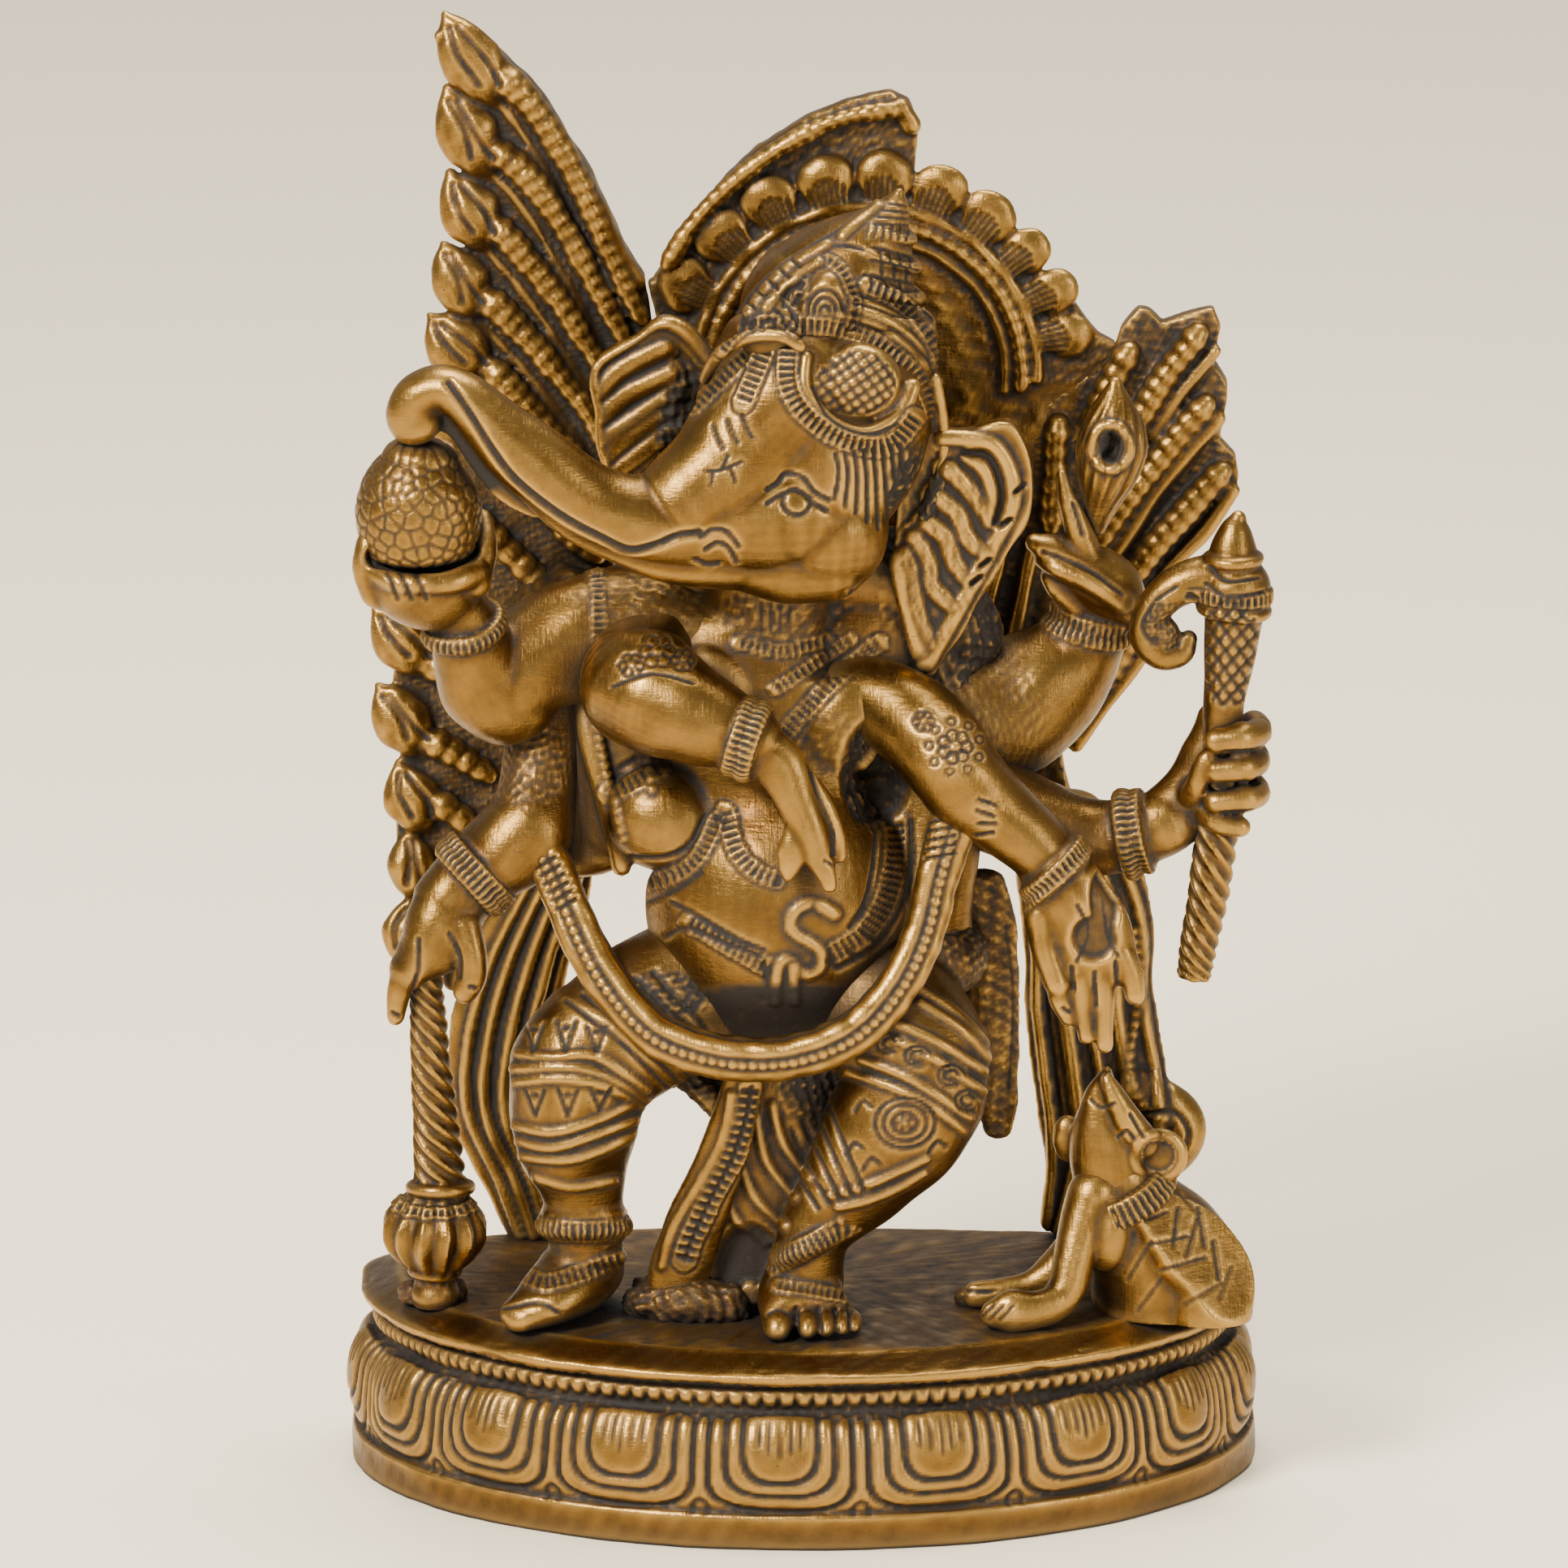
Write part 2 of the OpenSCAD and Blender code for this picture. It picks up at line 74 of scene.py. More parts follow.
# The chaser looks at the figure from the front and a little above. A point of a drawn line is
# (x, h): h is the height at which the line of sight crosses the middle of the figure.
CHASER_TILT = math.radians(16)
LEAN = math.tan(CHASER_TILT)
TOWARDS_CHASER = np.array([0, -math.cos(CHASER_TILT), math.sin(CHASER_TILT)])
# How far the ground is worn beside a ladder's rail, and how deep a hollow or how high an edge is
# fully dark or bright, over a short and a long distance. The dark is patina with painted shade, the
# bright is rubbed wear with a painted highlight.
RAIL_FOOT = 0.6
FINE_STEP, BROAD_STEP = 0.10, 0.5
WAVE_COUNT = 7
# Thickness of a backdrop plate with its ribs, and of the sheet below them.
PLATE, SHEET = 4.0, 3.6


def settings():
    """The sizes and colours that a user can change."""
    return bpy.context.scene.brass_statue


# ---------------------------------------------------------------- forms

def lone_selection(obj):
    """Selects one object and nothing else."""
    bpy.ops.object.select_all(action="DESELECT")
    obj.select_set(True)
    bpy.context.view_layer.objects.active = obj


def unit(vector):
    """A vector, or each row of an array, at length 1."""
    vector = np.asarray(vector, float)
    return vector / np.maximum(np.linalg.norm(vector, axis=-1, keepdims=True), 1e-9)


def smooth_line(points, steps, closed=False):
    """A smooth curve through points that may have any number of values each."""
    p = np.asarray(points, float)
    if closed:
        padded = np.vstack([p[-1:], p, p[:2]])
    else:
        padded = np.vstack([p[:1], p, p[-1:]])
    t = (np.arange(steps) / steps)[:, None]
    out = []
    for i in range(len(padded) - 3):
        a, b, c, d = padded[i:i + 4]
        out.append(0.5 * (2 * b + (c - a) * t + (2 * a - 5 * b + 4 * c - d) * t ** 2
                          + (3 * b - a - 3 * c + d) * t ** 3))
    if not closed:
        out.append(p[-1:])
    return np.vstack(out)


def form(points, faces):
    """A new mesh object from points in millimetres."""
    mesh = bpy.data.meshes.new("form")
    mesh.from_pydata([tuple(q) for q in np.asarray(points) * MM], [], faces)
    obj = bpy.data.objects.new("form", mesh)
    bpy.context.collection.objects.link(obj)
    return obj


def face_outwards(obj):
    """Turns every face of a closed form outwards."""
    lone_selection(obj)
    bpy.ops.object.mode_set(mode="EDIT")
    bpy.ops.mesh.select_all(action="SELECT")
    bpy.ops.mesh.normals_make_consistent(inside=False)
    bpy.ops.object.mode_set(mode="OBJECT")
    return obj


def skin(rings):
    """A closed form through rings that all have the same count of points."""
    n = len(rings[0])
    last = len(rings) - 1
    faces = [list(range(n))[::-1], [last * n + k for k in range(n)]]
    for i in range(last):
        for k in range(n):
            a, b = i * n + k, i * n + (k + 1) % n
            faces.append([a, b, b + n, a + n])
    return form(np.vstack(rings), faces)


def sweep(points, sides=28, steps=5, side=(0, 1, 0), blunt=(1, 1), flutes=0, cut=0.0, twist=0.0):
    """A limb through points [x, y, z, half width, half depth], with rounded ends.

    flutes is a count of grooves along it, cut their depth as a share of the radius, and twist the
    turns that they make from one end to the other.
    """
    full = [list(q) + [q[3]] if len(q) == 4 else list(q) for q in points]
    p = smooth_line(full, steps)
    place, size = p[:, :3], np.maximum(p[:, 3:], 0.15)
    way = np.empty_like(place)
    way[1:-1] = place[2:] - place[:-2]
    way[0], way[-1] = place[1] - place[0], place[-1] - place[-2]
    way = unit(way)
    across = unit(np.cross(side, way))
    deep = np.cross(way, across)
    angle = np.linspace(0, 2 * math.pi, sides, endpoint=False)
    length = np.linspace(0, 1, len(p))
    rings = []

    def ring(i, shift, share):
        spin = flutes * (angle - 2 * math.pi * twist * length[i])
        swell = 1 - cut * (0.5 + 0.5 * np.cos(spin)) if flutes else np.ones_like(angle)
        r = (share * swell)[:, None]
        return (place[i] + way[i] * shift + r * (size[i, 0] * np.cos(angle)[:, None] * across[i]
                                                 + size[i, 1] * np.sin(angle)[:, None] * deep[i]))

    cap = np.radians([84, 65, 45, 22])
    for a in cap:
        rings.append(ring(0, -min(size[0]) * blunt[0] * math.sin(a), math.cos(a)))
    for i in range(len(p)):
        rings.append(ring(i, 0, 1))
    for a in cap[::-1]:
        rings.append(ring(-1, min(size[-1]) * blunt[1] * math.sin(a), math.cos(a)))
    return skin(rings)


def wire(points, r, steps=6):
    """A round wire of one thickness, or of a radius at each end."""
    start, end = r if isinstance(r, tuple) else (r, r)
    count = len(points) - 1
    return sweep([list(q) + [start + (end - start) * i / count] for i, q in enumerate(points)],
                 sides=12, steps=steps)


def dome(mid, radii, turn=(0, 0, 0)):
    """An egg-shaped lump."""
    bpy.ops.object.select_all(action="DESELECT")
    bpy.ops.mesh.primitive_uv_sphere_add(
        segments=28, ring_count=16, radius=1, location=[v * MM for v in mid],
        rotation=[math.radians(a) for a in turn], scale=[v * MM for v in radii])
    obj = bpy.context.object
    bpy.ops.object.transform_apply(location=True, rotation=True, scale=True)
    return obj


def hoop(mid, way, r, thick):
    """A round wire hoop about a limb."""
    turn = Vector(way).to_track_quat("Z", "Y").to_euler()
    bpy.ops.object.select_all(action="DESELECT")
    bpy.ops.mesh.primitive_torus_add(
        major_segments=56, minor_segments=14, major_radius=r * MM, minor_radius=thick * MM,
        location=[v * MM for v in mid], rotation=turn)
    obj = bpy.context.object
    bpy.ops.object.transform_apply(location=True, rotation=True, scale=True)
    return obj


def slab(outline, back, thick, steps=1, closed=True):
    """A flat plate in the plane of the backdrop, from an outline of (x, z)."""
    line = smooth_line(outline, steps, closed) if steps > 1 else np.asarray(outline, float)
    n = len(line)
    near = np.column_stack([line[:, 0], np.full(n, back - thick), line[:, 1]])
    far = np.column_stack([line[:, 0], np.full(n, back), line[:, 1]])
    faces = [list(range(n)), [n + k for k in range(n)][::-1]]
    faces += [[k, k + n, (k + 1) % n + n, (k + 1) % n] for k in range(n)]
    return face_outwards(form(np.vstack([near, far]), faces))


def oval(x, h, across, tall, count, start=0, end=None):
    """Points along an oval on the front: all the way round, or between two angles."""
    whole = end is None
    angles = np.linspace(start, 2 * math.pi if whole else end, count, endpoint=not whole)
    return [(x + across * math.cos(a), h + tall * math.sin(a)) for a in angles]


def waves(p, size, seed):
    """Smooth noise between about -1 and 1 that varies over a distance of size."""
    rng = np.random.default_rng(seed)
    total = np.zeros(len(p))
    for _ in range(WAVE_COUNT):
        way = rng.normal(size=3)
        total += np.sin(p @ (way / np.linalg.norm(way)) * 2 * math.pi / size / rng.uniform(0.7, 1.5)
                        + rng.uniform(0, 6.28))
    return total / (WAVE_COUNT / 2)


# ---------------------------------------------------------------- castings

class Casting:
    """One casting on the bench: fused from its forms, then chased and finished."""

    def __init__(self, name, parts, voxel=None, soften=3):
        self.name = name
        bpy.ops.object.select_all(action="DESELECT")
        for part in parts:
            part.select_set(True)
        self.obj = parts[0]
        bpy.context.view_layer.objects.active = self.obj
        if len(parts) > 1:
            bpy.ops.object.join()
        lone_selection(self.obj)
        if voxel:
            remesh = self.obj.modifiers.new("Fuse", "REMESH")
            remesh.mode = "VOXEL"
            remesh.voxel_size = voxel * settings().grain * MM * 1
            bpy.ops.object.modifier_apply(modifier="Fuse")
        mesh = self.obj.data
        mesh.name = name + "_casting"
        self.obj.name = name + "_casting"
        self.count = len(mesh.vertices)
        flat = np.empty(self.count * 3)
        mesh.vertices.foreach_get("co", flat)
        self.p = flat.reshape(-1, 3) / MM
        pairs = np.empty(len(mesh.edges) * 2, dtype=np.int64)
        mesh.edges.foreach_get("vertices", pairs)
        pairs = pairs.reshape(-1, 2)
        self.one = np.concatenate([pairs[:, 0], pairs[:, 1]])
        self.other = np.concatenate([pairs[:, 1], pairs[:, 0]])
        self.links = np.maximum(np.bincount(self.one, minlength=self.count), 1)[:, None]
        self.p = self.relaxed(self.p, soften)
        self.settle()
        self.lift = np.zeros(self.count)
        self.dark = np.zeros(self.count)

    def relaxed(self, values, times, share=0.5):
        """Values, smoothed over the surface."""
        for _ in range(times):
            mean = np.column_stack([
                np.bincount(self.one, weights=values[self.other, k], minlength=self.count)
                for k in range(values.shape[1])]) / self.links
            values = values + share * (mean - values)
        return values

    def settle(self):
        """Writes the points to the mesh and reads its normals."""
        mesh = self.obj.data
        mesh.vertices.foreach_set("co", (self.p * MM).ravel())
        mesh.update()
        flat = np.empty(self.count * 3)
        mesh.vertex_normals.foreach_get("vector", flat)
        self.n = flat.reshape(-1, 3)
        self.facing = np.clip((self.n @ TOWARDS_CHASER - 0.05) / 0.25, 0, 1)
        self.card = np.column_stack([self.p[:, 0], self.p[:, 2] + LEAN * self.p[:, 1]])

    def knead(self, height, size, seed):
        """Uneven lumps, as a hand-made wax has."""
        self.p = self.p + self.n * (height * waves(self.p, size, seed))[:, None]
        self.settle()
        return self

    # A track is (which points, distance from the line, way along it, weight).
    def drawn(self, line, reach, bend=5, closed=False, near=None):
        """The track of a line that is drawn on the front."""
        line = smooth_line(line, bend, closed) if bend > 1 else np.asarray(line, float)
        if closed:
            line = np.vstack([line, line[:1]])
        low, high = line.min(axis=0) - reach, line.max(axis=0) + reach
        inside = np.all((self.card > low) & (self.card < high), axis=1) & (self.facing > 0)
        if near is not None:
            inside &= self.p[:, 1] < near
        idx = np.nonzero(inside)[0]
        q = self.card[idx]
        best = np.full(len(idx), 1e9)
        along = np.zeros(len(idx))
        run = 0.0
        for a, b in zip(line[:-1], line[1:]):
            ab = b - a
            size = float(np.hypot(*ab))
            if size < 1e-6:
                continue
            t = np.clip((q - a) @ ab / size ** 2, 0, 1)
            gap = np.linalg.norm(q - a - t[:, None] * ab, axis=1)
            closer = gap < best
            best[closer] = gap[closer]
            along[closer] = run + t[closer] * size
            run += size
        keep = best < reach
        return idx[keep], best[keep], along[keep], self.facing[idx[keep]]

    def around(self, mid, way, reach, half):
        """The track of a band that goes right round a limb at mid."""
        way = unit(way)
        rel = self.p - np.asarray(mid, float)
        t = rel @ way
        flat = rel - t[:, None] * way
        far = np.linalg.norm(flat, axis=1)
        idx = np.nonzero((np.abs(t) < half) & (far < reach))[0]
        across = unit(np.cross(way, (0.3, 1, 0.2)))
        angle = np.arctan2(flat[idx] @ np.cross(way, across), flat[idx] @ across)
        return idx, np.abs(t[idx]), angle * float(np.median(far[idx])) if len(idx) else angle, \
            np.ones(len(idx))

    def cut(self, line, width, depth, dark=1.0, **how):
        """A cut line."""
        idx, gap, _, weight = self.drawn(line, width, **how)
        bite = np.clip(1 - (gap / width) ** 2, 0, 1) * weight
        self.lift[idx] = np.minimum(self.lift[idx], self.lift[idx] * (1 - bite) - depth * bite)
        self.dark[idx] = np.maximum(self.dark[idx], dark * bite)

    def raise_line(self, line, reach, width, height, dark=0.6, **how):
        """A raised round line, dark at its foot."""
        idx, gap, _, weight = self.drawn(line, reach, **how)
        bump = np.sqrt(np.clip(1 - (gap / width) ** 2, 0, 1)) * weight
        foot = np.clip(1 - np.abs(gap - width * 1.15) / (width * 0.5), 0, 1) * weight
        self.lift[idx] = np.maximum(self.lift[idx], height * bump)
        self.dark[idx] = np.maximum(self.dark[idx] * (1 - bump), dark * foot)

    def beads(self, line, reach, size, pitch, height=None):
        """A row of beads."""
        idx, gap, along, weight = self.drawn(line, reach)
        off = (along / pitch - np.floor(along / pitch) - 0.5) * pitch
        r = np.sqrt(gap ** 2 + off ** 2) / size
        bump = np.sqrt(np.clip(1 - r ** 2, 0, 1)) * weight
        gully = np.clip(1 - gap / (size * 1.5), 0, 1) ** 0.5 * (1 - bump) * weight
        self.lift[idx] = np.maximum(self.lift[idx], (height or size * 0.8) * bump)
        self.dark[idx] = np.maximum(self.dark[idx] * (1 - bump), 0.75 * gully)

    def ladder(self, line, half, pitch, height, **how):
        """Two rails with rungs between them."""
        self.rungs(self.drawn(line, half + RAIL_FOOT, **how), half, pitch, height)

    def rungs(self, track, half, pitch, height):
        """The rails and rungs of a ladder along a track."""
        idx, gap, along, weight = track
        inside = gap < half
        rail = np.clip(1 - np.abs(gap - half + 0.35) / 0.45, 0, 1)
        phase = np.abs(along / pitch - np.floor(along / pitch) - 0.5) * 2
        rung = np.where(inside, np.clip((phase - 0.35) / 0.35, 0, 1), 0)
        top = np.maximum(rail, rung)
        fade = np.clip((half + RAIL_FOOT - gap) / RAIL_FOOT, 0, 1)
        self.lift[idx] += (height * top - 0.35 * height) * fade * weight
        self.dark[idx] = np.maximum(self.dark[idx], (1 - top) * fade * weight)

    def mesh_lines(self, mid, radii, pitch, depth=0.3, turns=(35, -55)):
        """Two sets of crossing lines inside an oval on the front."""
        rel = (self.card - np.asarray(mid, float)) / np.asarray(radii, float)
        inside = np.nonzero((np.sum(rel ** 2, axis=1) < 1) & (self.facing > 0))[0]
        q = self.card[inside]
        for turn in turns:
            a = math.radians(turn)
            s = (q[:, 0] * math.cos(a) + q[:, 1] * math.sin(a)) / pitch
            valley = np.clip(1 - np.abs(s - np.round(s)) / 0.28, 0, 1) * self.facing[inside]
            self.lift[inside] -= depth * valley
            self.dark[inside] = np.maximum(self.dark[inside], 0.8 * valley)

    def grit_and_shade(self, where, height=0.25, size=1.3, dark=0.7, seed=5):
        """A rough, darkened ground, as left by the mould, where a mask of 0 to 1 says so; some
        masks use it for painted shade in gaps.
        """
        rough = waves(self.p, size, seed) + 0.6 * waves(self.p, size * 0.5, seed + 1)
        self.lift += height * rough * where
        self.dark = np.maximum(self.dark, where * np.clip(dark * (0.75 - 0.5 * rough), 0, 1))

    def blob_mask(self, mid, radii):
        """1 inside an egg-shaped region, fading to 0 at its skin."""
        rel = (self.p - np.asarray(mid, float)) / np.asarray(radii, float)
        return np.clip((1 - np.sqrt(np.sum(rel ** 2, axis=1))) / 0.3, 0, 1)

    def card_mask(self, mid, radii):
        """1 inside an oval on the front, fading to 0 at its edge."""
        rel = (self.card - np.asarray(mid, float)) / np.asarray(radii, float)
        return np.clip((1 - np.sqrt(np.sum(rel ** 2, axis=1))) / 0.25, 0, 1) * self.facing

    def finish(self, slot, material, floor=None):
        """Applies the chasing, stores the dark of the patina and painted shade and the bright of
        rubbed wear and painted highlight, and puts the casting in its place.
        """
        self.p = self.p + self.n * self.lift[:, None]
        self.p = self.relaxed(self.p, 1, 0.3)
        if floor is not None:
            self.p[:, 2] = np.maximum(self.p[:, 2], floor)
        self.settle()
        # Painted shade and highlight: points below the smoothed surface are darkened, as patina and
        # as the shade that falls in hollows, and raised points are lightened, as rubbed wear and as
        # a highlight.
        fine = self.relaxed(self.p, 5)
        broad = self.relaxed(fine, 25)
        near = np.sum((fine - self.p) * self.n, axis=1)
        far = np.sum((broad - self.p) * self.n, axis=1)
        near, far = near / FINE_STEP, far / BROAD_STEP
        hollow = np.clip(near, 0, 1) * 0.7 + np.clip(far, 0, 1) * 0.5
        rub_and_highlight = np.clip(-near, 0, 1) * 0.6 + np.clip(-far, 0, 1) * 0.6
        patina_and_shade = np.clip(np.maximum(self.dark, hollow), 0, 1)
        patina_and_shade = self.relaxed(patina_and_shade[:, None], 1)[:, 0]
        mesh = self.obj.data
        for label, values in (("patina_and_shade", patina_and_shade), ("rub_and_highlight", np.clip(rub_and_highlight * (1 - patina_and_shade), 0, 1))):
            layer = mesh.attributes.new(label, "FLOAT", "POINT")
            layer.data.foreach_set("value", values.astype(np.float32))
        mesh.polygons.foreach_set("use_smooth", [True] * len(mesh.polygons))
        mesh.materials.clear()
        mesh.materials.append(brass(material))
        mesh.update()
        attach(self.obj, "root")
        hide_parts(self.name)
        return self.obj


# ---------------------------------------------------------------- material

def node_of(tree, kind, place, **values):
    """A shader node with its plain properties set."""
    node = tree.nodes.new(kind)
    node.location = place
    for key, value in values.items():
        setattr(node, key, value)
    return node


def noise(tree, coords, scale, place, detail=4.0, roughness=0.55, stretch=None, turn=(0, 0, 0)):
    """Noise on object coordinates, stretched along one direction if asked."""
    if stretch is not None:
        mapping = node_of(tree, "ShaderNodeMapping", (place[0] - 200, place[1]))
        mapping.inputs["Scale"].default_value = stretch
        mapping.inputs["Rotation"].default_value = [math.radians(a) for a in turn]
        tree.links.new(coords, mapping.inputs["Vector"])
        coords = mapping.outputs["Vector"]
    node = node_of(tree, "ShaderNodeTexNoise", place)
    node.inputs["Scale"].default_value = scale
    node.inputs["Detail"].default_value = detail
    node.inputs["Roughness"].default_value = roughness
    tree.links.new(coords, node.inputs["Vector"])
    return node.outputs["Fac"]


def remap(tree, value, low, high, to_low, to_high, place):
    """A value taken from one range to another, and clamped."""
    node = node_of(tree, "ShaderNodeMapRange", place)
    for key, number in (("From Min", low), ("From Max", high), ("To Min", to_low),
                        ("To Max", to_high)):
        node.inputs[key].default_value = number
    tree.links.new(value, node.inputs["Value"])
    return node.outputs["Result"]


def math_of(tree, operation, a, b, place):
    """A clamped sum, product or the like of two values."""
    node = node_of(tree, "ShaderNodeMath", place, operation=operation, use_clamp=True)
    for slot, value in ((0, a), (1, b)):
        if isinstance(value, bpy.types.NodeSocket):
            tree.links.new(value, node.inputs[slot])
        else:
            node.inputs[slot].default_value = value
    return node.outputs["Value"]


def blend_colour(tree, share, a, b, place):
    """Two colours mixed by a share."""
    node = node_of(tree, "ShaderNodeMix", place, data_type="RGBA")
    tree.links.new(share, node.inputs["Factor"])
    for slot, value in ((6, a), (7, b)):
        if isinstance(value, bpy.types.NodeSocket):
            tree.links.new(value, node.inputs[slot])
        else:
            node.inputs[slot].default_value = tuple(value)[:3] + (1,)
    return node.outputs[2]


# Each finish: how much it is buffed and lit by a painted highlight, how much grime and painted
# crevice shade it holds, and how rough its ground is.
FINISHES = {
    "cast": {"buff_and_highlight": 0.6, "grime_and_shade": 1.05, "ground": 0.9, "red": 0.5},
    "skin": {"buff_and_highlight": 1.0, "grime_and_shade": 0.8, "ground": 0.35, "red": 0.25},
    "aged": {"buff_and_highlight": 0.6, "grime_and_shade": 0.95, "ground": 1.0, "red": 0.4},
    "braze": {"buff_and_highlight": 0.15, "grime_and_shade": 1.3, "ground": 1.5, "red": 0.8},
}


def brass(finish):
    """Antique brass: bright where hands and files reach and where a highlight is painted, dark
    where they don't, with painted shade deepening the recesses.
    """
    name = "brass_" + finish
    if name in bpy.data.materials:
        return bpy.data.materials[name]
    look = FINISHES[finish]
    s = settings()
    material = bpy.data.materials.new(name)
    material.use_nodes = True
    tree = material.node_tree
    tree.nodes.clear()
    out = node_of(tree, "ShaderNodeOutputMaterial", (1400, 0))
    shader = node_of(tree, "ShaderNodeBsdfPrincipled", (1100, 0))
    tree.links.new(shader.outputs["BSDF"], out.inputs["Surface"])
    coords = node_of(tree, "ShaderNodeTexCoord", (-1200, 0)).outputs["Object"]
    patina_and_shade = node_of(tree, "ShaderNodeAttribute", (-1200, 300),
                     attribute_name="patina_and_shade").outputs["Fac"]
    rub_and_highlight = node_of(tree, "ShaderNodeAttribute", (-1200, 500), attribute_name="rub_and_highlight").outputs["Fac"]
    # Painted shade: the occlusion node darkens the colour wherever the surface is hemmed in, on top
    # of the real patina.
    crevice = node_of(tree, "ShaderNodeAmbientOcclusion", (-1200, 700), samples=6)
    crevice.inputs["Distance"].default_value = s.crevice
    shade = remap(tree, crevice.outputs["AO"], 0.2, 0.9, 1, 0, (-1000, 700))

    patches = noise(tree, coords, 55, (-900, -100), detail=3)
    mottle = noise(tree, coords, 420, (-900, -300), detail=5, roughness=0.65)
    specks = noise(tree, coords, 1500, (-900, -500), detail=3, roughness=0.7)
    warm = remap(tree, patches, 0.52, 0.72, 0, look["red"], (-700, -100))
    body = blend_colour(tree, warm, s.body_colour, s.warm_colour, (-500, -100))
    cloud = remap(tree, mottle, 0.38, 0.66, 0, 0.7, (-700, -300))
    body = blend_colour(tree, cloud, body, s.dull_colour, (-300, -100))
    # Painted highlight: raised edges are lightened towards the bright colour, as rubbed wear and as
    # a highlight.
    bright = math_of(tree, "MULTIPLY", rub_and_highlight, look["buff_and_highlight"] * 1.4, (-500, 500))
    body = blend_colour(tree, bright, body, s.bright_colour, (-100, 0))

    uneven = remap(tree, mottle, 0.3, 0.7, 0.65, 1.15, (-700, 200))
    held = math_of(tree, "MULTIPLY", patina_and_shade, uneven, (-500, 300))
    # The painted crevice shade joins the patina and grime, darkening the colour and dulling the
    # metal.
    deep = math_of(tree, "MULTIPLY", shade, 0.85 * look["grime_and_shade"], (-500, 700))
    grime_and_shade = math_of(tree, "MAXIMUM", held, deep, (-300, 400))
    pits = remap(tree, specks, 0.65, 0.73, 0, 0.3 + 0.4 * look["ground"], (-700, -500))
    grime_and_shade = math_of(tree, "MAXIMUM", grime_and_shade, pits, (-100, 400))
    hairs = remap(tree, noise(tree, coords, 1, (-900, -700), detail=2, stretch=(130, 900, 2400),
                              turn=(0, 28, 0)), 0.69, 0.75, 0, 0.35, (-700, -700))
    grime_and_shade = math_of(tree, "MAXIMUM", grime_and_shade, hairs, (0, 550))
    grime_and_shade = remap(tree, grime_and_shade, 0.05, 0.72, 0, 1, (100, 400))
    colour = blend_colour(tree, grime_and_shade, body, s.patina_and_shade_colour, (300, 100))
    tree.links.new(colour, shader.inputs["Base Color"])

    tree.links.new(remap(tree, grime_and_shade, 0, 1, 1, 0.25, (500, 300)), shader.inputs["Metallic"])
    polish = remap(tree, mottle, 0.3, 0.7, 0.27, 0.42, (300, -100))
    rough = node_of(tree, "ShaderNodeMix", (500, -100), data_type="FLOAT")
    tree.links.new(grime_and_shade, rough.inputs["Factor"])
    tree.links.new(polish, rough.inputs[2])
    rough.inputs[3].default_value = 0.72
    tree.links.new(rough.outputs[0], shader.inputs["Roughness"])

    along = noise(tree, coords, 1, (300, -500), detail=2, stretch=(300, 500, 2600), turn=(0, 35, 0))
    askew = noise(tree, coords, 1, (300, -700), detail=2, stretch=(2200, 400, 260), turn=(0, 20, 0))
    files = math_of(tree, "ADD", math_of(tree, "MULTIPLY", along, 0.5, (500, -500)),
                    math_of(tree, "MULTIPLY", askew, 0.5, (500, -700)), (650, -600))
    fine = node_of(tree, "ShaderNodeBump", (800, -500))
    fine.inputs["Strength"].default_value = 0.6
    fine.inputs["Distance"].default_value = 0.00016
    tree.links.new(files, fine.inputs["Height"])
    lumps = node_of(tree, "ShaderNodeBump", (950, -300))
    lumps.inputs["Strength"].default_value = 0.3 + 0.25 * look["ground"]
    lumps.inputs["Distance"].default_value = 0.0003
    tree.links.new(mottle, lumps.inputs["Height"])
    tree.links.new(fine.outputs["Normal"], lumps.inputs["Normal"])
    tree.links.new(lumps.outputs["Normal"], shader.inputs["Normal"])
    return material


# ---------------------------------------------------------------- plinth and backdrop

def plinth_outline(grow, turn, size):
    """The plan of the plinth: a deep half ellipse in front and a square-backed one behind."""
    width, depth = size
    mid = depth * 0.2
    c, s = np.cos(turn), np.sin(turn)
    front = mid + (depth / 2 + mid + grow) * s
    rear = mid + (depth / 2 - mid + grow * 0.25) * np.abs(s) ** 0.45
    return np.column_stack([(width / 2 + grow) * c, np.where(s < 0, front, rear)])


def petal_relief(angle, z, low, high):
    """Height and patina of the lotus petals at an angle from the front and a height."""
    pitch = 20.5
    shift = (angle + 3) / pitch
    u = (shift - np.round(shift)) * 2
    v = (z - low) / (high - low)
    lift = np.zeros_like(u)
    dark = np.zeros_like(u)
    bend = 0.42
    for width, depth, base in ((0.9, 1.0, 0.02), (0.68, 0.75, 0.2), (0.46, 0.7, 0.36)):
        drop = np.clip(bend + base - v, 0, None) / bend
        level = (np.abs(u / width) ** 3 + drop ** 3) ** (1 / 3)
        gap = np.abs(level - 1) * width * 14
        line = np.clip(1 - (gap / 0.75) ** 2, 0, 1)
        shown = (v > base - 0.02) & (v < 1.02)
        lift -= depth * line * shown
        dark = np.maximum(dark, line * shown)
        swell = np.clip(1 - level, 0, 1) ** 0.5
        lift += 0.5 * swell * shown
    for k in range(-2, 3):
        bar = np.clip(1 - np.abs(u - 0.13 * k) / 0.028, 0, 1)
        ends = np.clip((v - 0.62 - 0.05 * abs(k)) / 0.08, 0, 1) * np.clip((1 - v) / 0.05, 0, 1)
        lift -= 0.6 * bar * ends
        dark = np.maximum(dark, bar * ends)
    # a small bud hangs between each pair of petals
    side = 1 - np.abs(u)
    bud = np.sqrt((side / 0.1) ** 2 + ((v - 0.02) / 0.11) ** 2)
    ring = np.clip(1 - np.abs(bud - 1) / 0.35, 0, 1) * (v < 0.2)
    lift -= 0.6 * ring
    dark = np.maximum(dark, ring)
    return lift, dark


